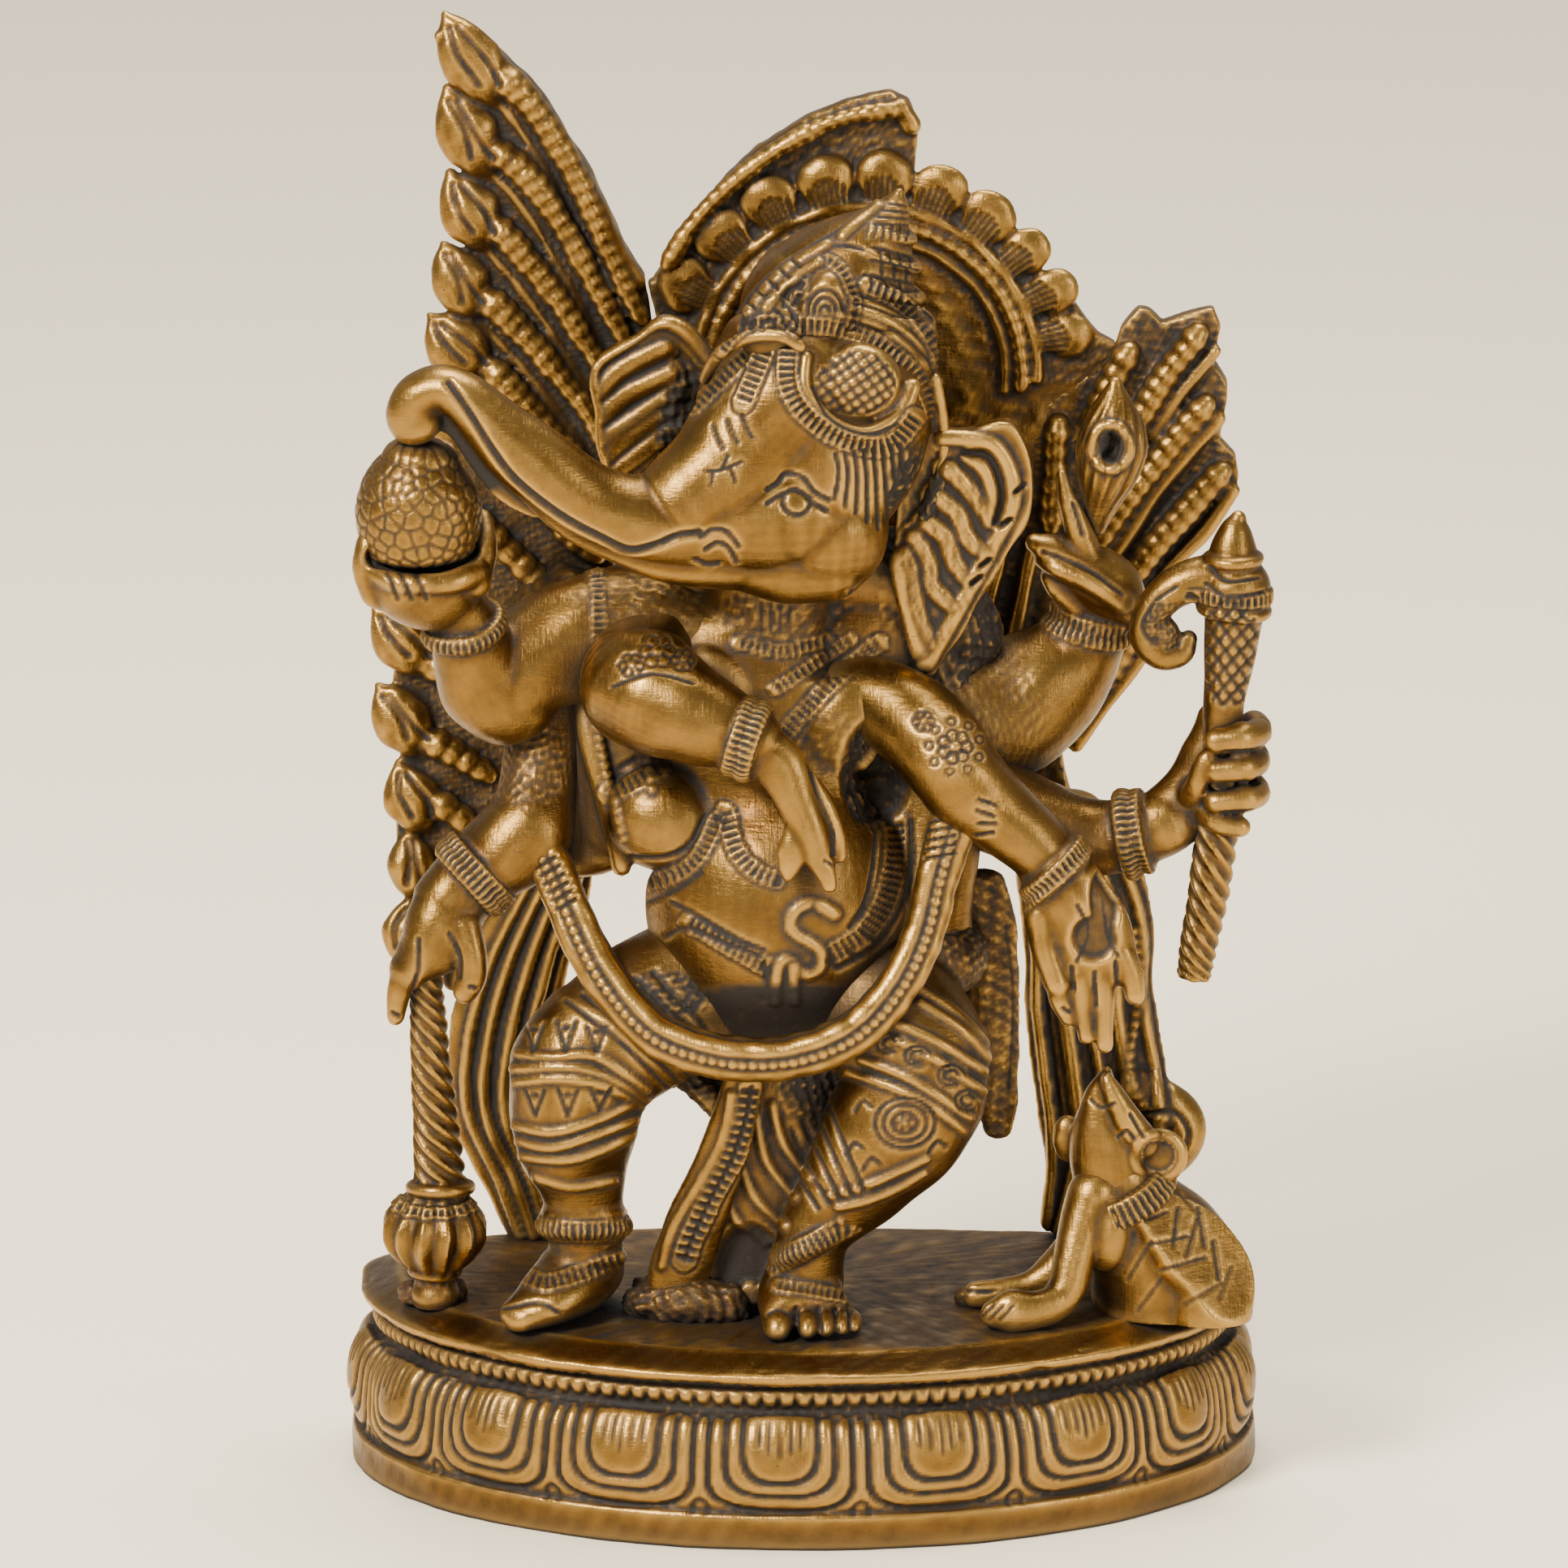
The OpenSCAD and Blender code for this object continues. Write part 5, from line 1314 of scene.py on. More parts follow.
def make_right_arms():
    """The three arms on the right of the figure, and the flower bud."""
    arm = [[7, 2, 141, 7.6], [12, -2, 141.6, 7.6], [17, -6, 140, 7.8], [22, -9.6, 136.6, 8.2],
           [25.4, -12, 132.6, 8.2], [29.4, -13, 127.6, 7.6], [34, -13.4, 123.8, 6.6],
           [38.6, -13.8, 120, 6], [42, -14, 116.4, 5.8]]
    palm = [[41.6, -14, 116.4, 5.8, 5.2], [45.2, -15, 110.6, 7, 4.8], [48, -15.6, 105, 8, 4],
            [49.6, -15.8, 100, 7.8, 3.4], [50.4, -15.8, 96, 6.8, 2.8]]
    parts = [sweep(arm, 36, 6), sweep(palm, 28, 6)]
    parts += [wire([(41, -16, 107), (41.6, -17, 101), (43.6, -17.6, 95)], (3.0, 2.2)),
              wire([(44, -16.6, 97), (44, -17, 92.4), (45.4, -17, 88.6)], (2.2, 1.7)),
              wire([(48, -16.6, 96), (48, -17, 90), (48.6, -17, 85.6)], (2.2, 1.6)),
              wire([(51.4, -16.4, 96), (51.6, -17, 89), (51.8, -17, 84)], (2.3, 1.5)),
              wire([(54.6, -16, 100), (56.4, -16.4, 96), (57, -16.4, 92.6)], (2.6, 1.7))]
    parts += [hoop((42.6, -14, 115), (6.4, -1, -7), 6.1, 1.2),
              hoop((44, -14.2, 113.2), (6.4, -1, -7), 6.3, 0.9)]
    piece = Casting("front_right_arm", parts, 0.42, soften=4)
    piece.knead(0.22, 10, 110)
    bangle(piece, (43.3, -14, 114.2), (6.4, -1, -7), 10, 1.9)
    rosette(piece, 26, 132.4, 3.2)
    flower(piece, 20.6, 137, 2.0)
    bowl = piece.card_mask((52, 105), (3, 7)) + piece.card_mask((50, 98), (4.4, 4.4))
    piece.lift -= 1.3 * np.clip(bowl, 0, 1)
    piece.dark = np.maximum(piece.dark, 0.38 * np.clip(bowl, 0, 1))
    for line in ([(47, 104), (49, 99), (47, 94)], [(52, 105), (52.4, 99), (54, 95)],
                 [(46, 93), (46.4, 89)], [(50, 92), (50.2, 86)], [(53.6, 94), (54, 90)],
                 [(44.6, 85.6), (45.8, 84.8)], [(30, 123), (33, 122)], [(29.6, 121), (32.6, 120)],
                 [(30, 118.6), (33, 118.6)], [(29.4, 116.4), (32.4, 117)]):
        piece.cut(line, 0.45, 0.45)
    piece.finish("polished_brass", "skin")

    arm = [[18, 6, 137, 10], [26, 9, 135, 12], [35, 11, 136, 12], [42, 12, 140.6, 10.6],
           [47, 12.4, 146, 8.4], [50, 12, 151.6, 6.4]]
    wrist = [[50, 12, 150.6, 5.8, 5.2], [51, 11, 154, 5.8, 5], [52, 9.6, 157.6, 5.6, 5]]
    hand = [[57.4, 8, 154.4, 3, 4], [54, 8, 157.6, 5.6, 5], [50, 8, 160.6, 5.6, 5],
            [45.6, 7.4, 163.6, 4.2, 4.2], [42, 7, 165.8, 2.8, 3], [39.6, 7, 167, 1.6, 2]]
    parts = [sweep(arm, 36, 6), sweep(wrist, 28, 6), sweep(hand, 28, 6)]
    parts += [wire([(49, 7, 164), (47, 6.6, 170), (45.2, 7, 175), (44.4, 7.6, 179)], (2.9, 1.2)),
              wire([(55, 4.6, 157.4), (49, 3.6, 161), (44, 4.6, 163), (41, 6.4, 164)], (2.5, 1.5)),
              wire([(47, 7.6, 155.6), (43.6, 6.6, 158.6), (42, 7, 161)], (2.2, 1.5))]
    parts += [hoop((49.8, 12, 150.4), (1.4, -0.6, 6), 6.2, 1.4),
              hoop((50.2, 12, 152.8), (1.4, -0.6, 6), 6.0, 1.3)]
    piece = Casting("raised_right_arm", parts, 0.48, soften=3)
    piece.knead(0.25, 11, 112)
    bangle(piece, (50, 12, 151.6), (1.4, -0.6, 6), 9, 2.6)
    for line in ([(41, 167.4), (45, 166), (50, 163.6), (55, 159.6)], [(46.4, 176), (48, 170.4)]):
        piece.cut(line, 0.5, 0.5)
    piece.grit_and_shade(piece.card_mask((30, 138), (13, 16)) * 0.5, 0.15, 1.5, 0.5, seed=113)
    piece.finish("cast_brass", "cast")

    bud = [[50.4, 9, 169.6, 2], [51.2, 8.4, 174, 3.6], [52.2, 8, 179, 5.6], [53, 8, 184, 6.5, 5.6],
           [53.2, 8, 188.6, 5.4, 5], [53.4, 8, 192, 3.4, 3.2], [53.6, 8, 195, 1.4]]
    parts = [sweep(bud, 44, 8, flutes=15, cut=0.13, twist=0.15)]
    piece = Casting("flower_bud", parts, 0.36, soften=2)
    eye = np.linalg.norm((piece.card - (52.7, 186)) / (2.3, 3.1), axis=1)
    pit = np.clip(1.25 - eye, 0, 1) * (piece.facing > 0)
    piece.lift -= 3.2 * np.clip(pit, 0, 1)
    piece.dark = np.maximum(piece.dark, np.clip(pit * 2.5, 0, 1))
    piece.raise_line(oval(52.7, 186, 3.3, 4.1, 12), 1.6, 0.9, 0.8, bend=2, closed=True)
    piece.finish("cast_brass", "cast")

    arm = [[28, 2, 124, 8], [36, 1.6, 120, 8.2], [44, 1, 117, 7.4], [51, 0.4, 116, 6.6],
           [57.6, -0.4, 117, 6], [62.4, -1, 119, 5.8]]
    palm = [[61, -0.6, 118.4, 5.6, 5.2], [65.4, 0, 121.6, 6.2, 5], [69, 0.8, 126.6, 6, 4.6],
            [71, 1, 132, 5.2, 4.2], [71.4, 1, 137, 3.8, 3.6]]
    parts = [sweep(arm, 32, 6), sweep(palm, 28, 6)]
    for z, r in ((125, 2.4), (130.6, 2.6), (136, 2.8)):
        parts += [wire([(77.6, 1.2, z), (78.2, -3.4, z), (75.6, -7, z), (71, -7.4, z - 0.4)],
                       (r, r - 0.4)),
                  dome((75.6, -6.6, z), (3.2, 2.6, r))]
    parts += [wire([(68, -2, 123), (71, -6, 121), (75, -6.6, 120)], (2.6, 2.0)),
              wire([(66.6, -3, 124), (67.6, -6.4, 128), (69.4, -7, 132)], (2.6, 1.9))]
    parts += [hoop((56, -0.2, 116.8), (8, -1, 1.6), 6.4, 1.5),
              hoop((58.6, -0.6, 117.4), (8, -1, 1.8), 6.2, 1.2)]
    piece = Casting("goad_arm", parts, 0.46, soften=2)
    piece.knead(0.22, 10, 115)
    bangle(piece, (57, -0.4, 117), (8, -1, 1.6), 9, 2.6)
    for h in (125.6, 131.2, 120.4):
        piece.cut([(72, h), (78, h + 0.4)], 0.5, 0.6, bend=1)
    piece.finish("cast_brass", "cast")


def make_attributes():
    """The mace under the left hand and the elephant goad in the right fist."""
    shaft = [[-65.4, -8, 100, 2.9], [-65.2, -7.6, 92, 3.2], [-64.8, -7.2, 84, 3.5],
             [-64.2, -6.4, 74, 3.9], [-63.5, -5.6, 64, 4.4], [-63, -5, 55, 5]]
    head = [[-63.4, -4.8, 53.6, 4.8], [-63.6, -4.8, 51.4, 7.2], [-63.8, -4.7, 48.4, 9.2],
            [-64, -4.6, 45, 9.2], [-64, -4.5, 41.6, 7], [-64, -4.4, 39.2, 4.2]]
    foot = [[-64, -4.4, 40, 3.2], [-64, -4.3, 37.6, 3.6], [-64, -4.2, 35.4, 4.4], [-64, -4, 34, 4]]
    parts = [sweep(shaft, 56, 26, flutes=7, cut=0.24, twist=-2.2),
             sweep(head, 48, 6, flutes=12, cut=0.16), sweep(foot, 28, 5),
             hoop((-63, -5, 54.6), (0, 0.1, 1), 5, 1.1),
             hoop((-64, -4.4, 39.2), (0, 0, 1), 4.0, 0.9)]
    piece = Casting("mace", parts, 0.35, soften=1)
    bangle(piece, (-63.6, -4.8, 51.6), (0, 0, 1), 12, 1.2)
    floor = plinth_top()
    piece.knead(0.12, 9, 120).finish("polished_brass", "cast", floor=floor)

    grip = [[67.4, -3, 92, 3.3], [68.4, -3, 98, 3.5], [70, -3, 108, 3.8], [71.4, -3, 119, 4],
            [72, -3, 127, 4.1]]
    upper = [[72, -3, 124, 3.3], [72.2, -3, 138, 3.4], [73, -3, 147, 4.2], [74, -3, 157, 5.2]]
    collar = [[74, -3, 156.6, 5.2], [74, -3, 159.4, 6.4], [74, -3, 163, 6.2], [73.8, -3, 166, 4.6],
              [73.8, -3, 169, 4.0], [74.2, -3, 172.4, 2.6], [74.6, -3, 174, 1.4]]
    hook = [[73, -3, 163.6, 4], [68, -3, 163.4, 3.8], [63, -3, 161, 3.4], [59.6, -3, 157, 3.2],
            [59, -3, 153, 3], [61.4, -3, 150, 2.8], [64.8, -3, 150.2, 2.4], [66.2, -3, 152.6, 1.6]]
    parts = [sweep(grip, 48, 26, flutes=6, cut=0.22, twist=-2.25, blunt=(0.2, 1)),
             sweep(upper, 32, 8), sweep(collar, 32, 6), sweep(hook, 24, 6),
             dome((61.6, -3.4, 153.6), (3.2, 2.6, 3.2)),
             hoop((74, -3, 158), (0.08, 0, 1), 5.6, 1.1),
             hoop((73.8, -3, 167), (0, 0, 1), 4.4, 1.0)]
    piece = Casting("goad", parts, 0.36, soften=1)
    piece.mesh_lines((73, 149), (6, 9.6), 2.1, 0.4, (38, -42))
    for line in ([(69.6, 164.6), (72.6, 162), (78.4, 162.6)], [(69, 161.6), (73, 159), (79, 160)],
                 [(60, 158), (58, 154), (60, 151)], [(64, 161), (60.4, 158.6)]):
        piece.cut(line, 0.45, 0.45)
    bangle(piece, (74, -3, 160.8), (0.05, 0, 1), 9, 1.5)
    piece.grit_and_shade(piece.card_mask((62, 154), (4.6, 5)) * 0.8, 0.25, 1.2, 0.8, seed=122)
    piece.knead(0.12, 9, 123).finish("polished_brass", "cast")


def make_sash():
    """The beaded scarf that hangs in a loop in front of the legs."""
    path = [[-46, -5, 117, 3.8, 3.4], [-43.4, -8.6, 113.4, 3.6, 3.4], [-40.6, -12, 107.6, 3.6, 3.2],
            [-37.4, -15, 101, 3.6, 3.2], [-33, -18, 94.4, 3.7, 3.2], [-26, -21.4, 87.6, 3.8, 3.2],
            [-15.6, -24, 84.2, 3.8, 3.2], [-5, -24.8, 83.8, 3.8, 3.2], [4, -24.6, 86, 3.8, 3.2],
            [11, -23, 90, 3.7, 3.2], [17, -20.4, 97, 3.6, 3.2], [20.8, -17.6, 105, 3.6, 3.2],
            [23, -15.4, 114, 3.7, 3.2], [25.4, -14, 122, 4.2, 3.6]]
    piece = Casting("sash", [sweep(path, 28, 8)], 0.38, soften=3)
    line = np.array([(q[0], q[2] + LEAN * (q[1] - 2.4)) for q in path])
    way = unit(np.gradient(line, axis=0))
    out = np.column_stack([-way[:, 1], way[:, 0]])
    piece.beads(line - out * 0.5, 1.6, 0.95, 1.75, 0.5)
    piece.raise_line(line + out * 2.1, 2.4, 1.5, 0.8, 0.8)
    piece.raise_line(line - out * 2.9, 2, 1.3, 0.5, 0.3)
    piece.knead(0.15, 4, 125)
    for k in range(6):
        h = 112 - 1.5 * k
        x = -44.6 + 0.7 * k
        piece.cut([(x - 1.4, h - 1.2), (x + 1.8, h + 0.6)], 0.36, 0.35, bend=1)
        h = 113 + 1.6 * k
        piece.cut([(21, h - 0.6), (26, h + 0.4)], 0.36, 0.3, bend=1)
    piece.finish("polished_brass", "skin")


def toe(x, z, y, r, slim=0.8):
    """One toe with its nail side up."""
    return dome((x, y, z), (r * slim, r * 1.9, r), (12, 0, 0))


def make_legs():
    """Two bent legs in a pleated and flowered waist cloth, with anklets."""
    floor = plinth_top()
    thigh = [[-8, 2, 92, 13, 12], [-16, -3, 90.6, 13.6, 13], [-26, -8, 87, 13.4, 12.6],
             [-34, -12, 82.6, 12.4, 12]]
    shin = [[-36, -12.6, 83.4, 11, 11], [-38.6, -13, 78.4, 12.2, 12], [-39.4, -13, 71, 11.6, 11.2],
            [-39.4, -12, 63.4, 10, 9.6], [-38.4, -11.4, 56.6, 7.4, 7.4],
            [-37.8, -11, 51.6, 6.6, 6.6], [-37.8, -10.4, 46, 6.4, 6.6], [-38, -9.4, 41.4, 7, 7]]
    foot = [[-37, -4, 40, 6, 6.4], [-38.6, -9, 40.4, 6.8, 6.8], [-41.4, -14, 39.4, 7.2, 5.6],
            [-45.4, -18, 37.6, 6.4, 4.2], [-49.4, -20.4, 36, 4.4, 2.8]]
    parts = [sweep(thigh, 40, 6), sweep(shin, 40, 6), sweep(foot, 32, 6, side=(0, 0, 1)),
             hoop((-37.9, -11, 49.4), (0, 0.2, 1), 6.8, 1.5),
             hoop((-37.9, -11, 51.8), (0, 0.2, 1), 6.6, 1.1),
             hoop((-38, -10, 43.4), (0, 0.2, 1), 6.6, 1.0)]
    # the web of cloth between the thigh and the pleat
    parts.append(sweep([[-30, -2, 84, 8, 4], [-22, -3, 78, 8, 3.6], [-15, -6, 73, 7, 3.4],
                        [-11, -8, 68, 5, 3]], 24, side=(0, 0, 1)))
    piece = Casting("left_leg", parts, 0.49, soften=4)
    piece.knead(0.25, 11, 130)
    folds = [[(-49.1, 77.4), (-43.3, 76.8), (-35.6, 77), (-27.3, 71)],
             [(-50.3, 74.6), (-43.3, 75), (-37.4, 74.6), (-31.5, 72), (-26.7, 68.5)],
             [(-49.7, 72.2), (-43.3, 73), (-36.8, 72.4), (-31, 70), (-26.4, 66.6)],
             [(-49.7, 64.4), (-43.3, 63.4), (-36.1, 65.4), (-29.7, 68.3)],
             [(-49.1, 61.6), (-43.3, 60.6), (-35.6, 63), (-29.1, 65.4)],
             [(-48.6, 58.8), (-40.3, 58.4), (-33.2, 60.8), (-28.5, 63.3)],
             [(-46, 55), (-40, 53.4), (-33, 54.4)]]
    for line in folds:
        piece.raise_line(line, 2, 0.95, 0.75)
    for k in range(6):
        dx, dh = 3.0 * k, 1.0 * k
        piece.cut([(-41 + dx, 87 + dh), (-31 + dx * 0.9, 79 + dh * 0.7),
                   (-22 + dx * 0.6, 69.6 + dh * 0.9)], 0.6, 0.5)
    for x, h, tall in ((-46.6, 80.4, 5), (-41, 80.6, 5.4), (-35.6, 80, 4.6), (-46.4, 68.6, 4.4),
                       (-40.6, 68.6, 4.8), (-35, 69.2, 4)):
        for dx in (-1.7, 1.7):
            piece.cut([(x, h - tall / 2), (x + dx, h + tall / 2)], 0.45, 0.45, bend=1)
        piece.cut([(x - 0.3, h + tall * 0.3), (x + 0.3, h + tall * 0.3)], 0.6, 0.45, bend=1)
    bangle(piece, (-37.9, -11, 49), (0, 0.2, 1), 10, 2.3)
    piece.ladder([(-49.7, 38.4), (-45, 36.2), (-39.8, 37.4), (-34.4, 39.2), (-30.6, 40.4)], 1.7,
                 1.3, 0.6)
    piece.cut([(-52, 31.4), (-46, 32.6), (-42, 30.6)], 0.5, 0.4)
    # Painted shade: the hip and the crotch are roughened and darkened as the shade between the
    # thighs.
    crotch = piece.blob_mask((-18, -4, 79), (15, 12, 14)) + piece.card_mask((-24, 88), (9, 5))
    piece.grit_and_shade(np.clip(crotch, 0, 1) * 0.9, 0.3, 1.6, 1.1, seed=131)
    piece.finish("cast_brass", "cast", floor=floor)

    thigh = [[2, 2, 92, 13, 12], [9, -4, 89.6, 13.6, 13], [15, -9, 86, 13.4, 13],
             [20, -12.6, 81, 12.4, 12.4]]
    shin = [[20.4, -12.6, 81, 11, 11.6], [19.6, -13.4, 75, 12.2, 12], [15.4, -14, 68, 12.2, 11.4],
            [10, -15, 60.6, 10, 9.6], [5, -15.8, 54.6, 7.6, 7.6], [2, -16, 50, 6.4, 6.6],
            [0.8, -16, 45.4, 6.2, 6.4], [0.2, -15.4, 41, 6.8, 6.8]]
    foot = [[0, -11, 40, 6, 6.6], [-0.2, -15.4, 40, 7, 6.6], [-0.4, -19.4, 38.6, 7.8, 5.2],
            [0.4, -22.6, 37, 8.4, 3.8]]
    parts = [sweep(thigh, 40, 6), sweep(shin, 40, 6),
             sweep(foot, 32, 6, side=(0, 0, 1), blunt=(1, 0.3)),
             hoop((1.6, -16, 48.6), (-0.5, 0.1, 0.9), 6.8, 1.5),
             hoop((2.4, -16, 50.4), (-0.5, 0.1, 0.9), 6.8, 1.1),
             toe(-4.6, 36.4, -24, 2.9, 0.95), toe(0.6, 36.2, -25, 2.3), toe(3.8, 36, -24.6, 2.1),
             toe(6.6, 35.8, -23.8, 1.9), toe(8.8, 35.6, -22.6, 1.7)]
    # the web of cloth between the calf and the pleat
    parts.append(sweep([[-3, -8, 78, 8, 3], [-5, -8.4, 66, 9.4, 3], [-7, -9, 56, 9.6, 3],
                        [-9, -9.6, 46, 9, 3], [-10, -10, 36, 8.6, 3]], 24))
    parts += [dome((2, -1, 76), (10, 8, 10)), dome((20, 0, 95), (12, 10, 9))]
    piece = Casting("right_leg", parts, 0.49, soften=4)
    piece.knead(0.25, 11, 133)
    folds = [[(15.7, 83), (23.4, 79.4), (31.6, 74)], [(14, 81), (22.4, 76.6), (31, 70.6)],
             [(10, 76.4), (19, 72.6), (28.6, 66)],
             [(7.4, 74), (15.7, 71.3), (23.4, 67), (27.4, 63.6)],
             [(4.6, 52), (9.8, 53.4), (15.7, 56), (21, 58.6)],
             [(6, 49.8), (11, 51), (16.4, 53.4), (20.6, 56)],
             [(18, 90), (26, 85), (31.6, 79)], [(20, 86.6), (27, 82), (32, 76.6)]]
    for line in folds:
        piece.raise_line(line, 2, 0.9, 0.7)
    for k in range(5):
        piece.cut([(-4.4 + 2.1 * k, 62 + 1.6 * k), (-1 + 2.1 * k, 55 + 1.2 * k),
                   (2.4 + 2 * k, 49.6 + 0.8 * k)], 0.55, 0.5)
    for line in ([(-8.4, 66), (-6.4, 58), (-1.6, 51.6)], [(-11.4, 58), (-8.4, 51.4), (-3.4, 46.4)],
                 [(-5.4, 68), (-3.4, 61), (1, 55)], [(-13.6, 51), (-11, 46.4), (-6.4, 43)]):
        piece.raise_line(line, 2, 0.9, 0.7)
    pocket = piece.card_mask((-9.6, 37.6), (7, 9.4)) * (piece.p[:, 1] > -13)
    piece.lift -= 1.6 * pocket
    piece.dark = np.maximum(piece.dark, pocket)
    for r in (5.3, 3.8, 2.2):
        piece.cut(oval(17.4, 65, r, r * 0.86, 10), 0.45, 0.45, bend=2, closed=True)
    flower(piece, 17.4, 65, 2.2, 5)
    for x, h in ((19.6, 77), (25.4, 73.6), (14.6, 79.4), (28.4, 69)):
        for r in (2.3, 1.2):
            piece.cut(oval(x, h, r, r * 0.8, 8, 0.3, 5.2), 0.4, 0.4, bend=2)
    for x, h in ((8.6, 60.4), (11.6, 57.6), (23, 60.6), (10, 68)):
        piece.cut([(x - 1.4, h - 1), (x, h + 1), (x + 1.6, h)], 0.45, 0.4)
    bangle(piece, (1.8, -16, 49), (-0.5, 0.1, 0.9), 10, 2.4)
    piece.ladder([(-4.6, 35.8), (0.6, 35), (7.6, 33.6)], 1.3, 1.2, 0.5)
    for x in (-1.4, 2.6, 5.4, 7.8):
        piece.cut([(x, 31.6), (x + 0.3, 27.6)], 0.4, 0.6, bend=1)
    piece.cut([(-6.4, 30.4), (-4.4, 31.4), (-2.6, 30.4)], 0.35, 0.3)
    # Painted shade: the crotch and the right hip are roughened and darkened as the shade between
    # the legs and under the belly.
    deep = piece.blob_mask((3, -4, 78), (11, 13, 16)) + piece.blob_mask((21, -1, 96), (13, 10, 11))
    piece.grit_and_shade(np.clip(deep, 0, 1), 0.35, 1.6, 1.3, seed=134)
    piece.finish("cast_brass", "cast", floor=floor)


def make_cloths():
    """The hanging pleat and the loose end at the hip."""
    floor = plinth_top()
    pleat = [[-9.4, -15, 82, 3.4, 2], [-10.6, -16, 76, 3.6, 2], [-12.8, -15.6, 68, 4, 2],
             [-16, -14.6, 58, 4.8, 2.1], [-19.4, -13.4, 48.6, 5.4, 2.2],
             [-21.6, -12.4, 41, 5.4, 2.4], [-21.6, -12, 35.6, 5, 2.6]]
    piece = Casting("waist_pleat", [sweep(pleat, 28, 6)], 0.4, soften=3)
    ladder = [(-9.1, 71.4), (-10.2, 65.2), (-12.6, 57.9), (-16.1, 51.2), (-19.4, 43.8), (-20.6, 40)]
    piece.ladder(ladder, 2.2, 1.7, 0.7)
    piece.cut([(x + 0.1, h) for x, h in ladder], 0.45, 0.4)
    piece.raise_line([(-12.4, 70), (-14, 62), (-18, 54), (-22.6, 46), (-24.6, 39)], 2, 1.0, 0.5)
    piece.knead(0.2, 8, 140).finish("cast_brass", "cast", floor=floor)
    end = [[30, 4, 107, 5, 2.4], [31, 4.4, 98, 6, 2], [32, 5, 84, 5.6, 2],
           [32.6, 5, 74, 4.8, 1.9], [33.4, 5, 66, 3.6, 1.8], [33.6, 5, 62, 2.6, 1.6]]
    piece = Casting("side_cloth", [sweep(end, 24, 6)], 0.42, soften=3)
    piece.cut([(35, 100), (36.4, 86), (35.6, 70)], 0.4, 0.3, 0.7)
    piece.grit_and_shade(piece.facing * 0.9, 0.18, 1.6, 0.6, seed=142)
    piece.knead(0.25, 8, 141).finish("cast_brass", "cast")


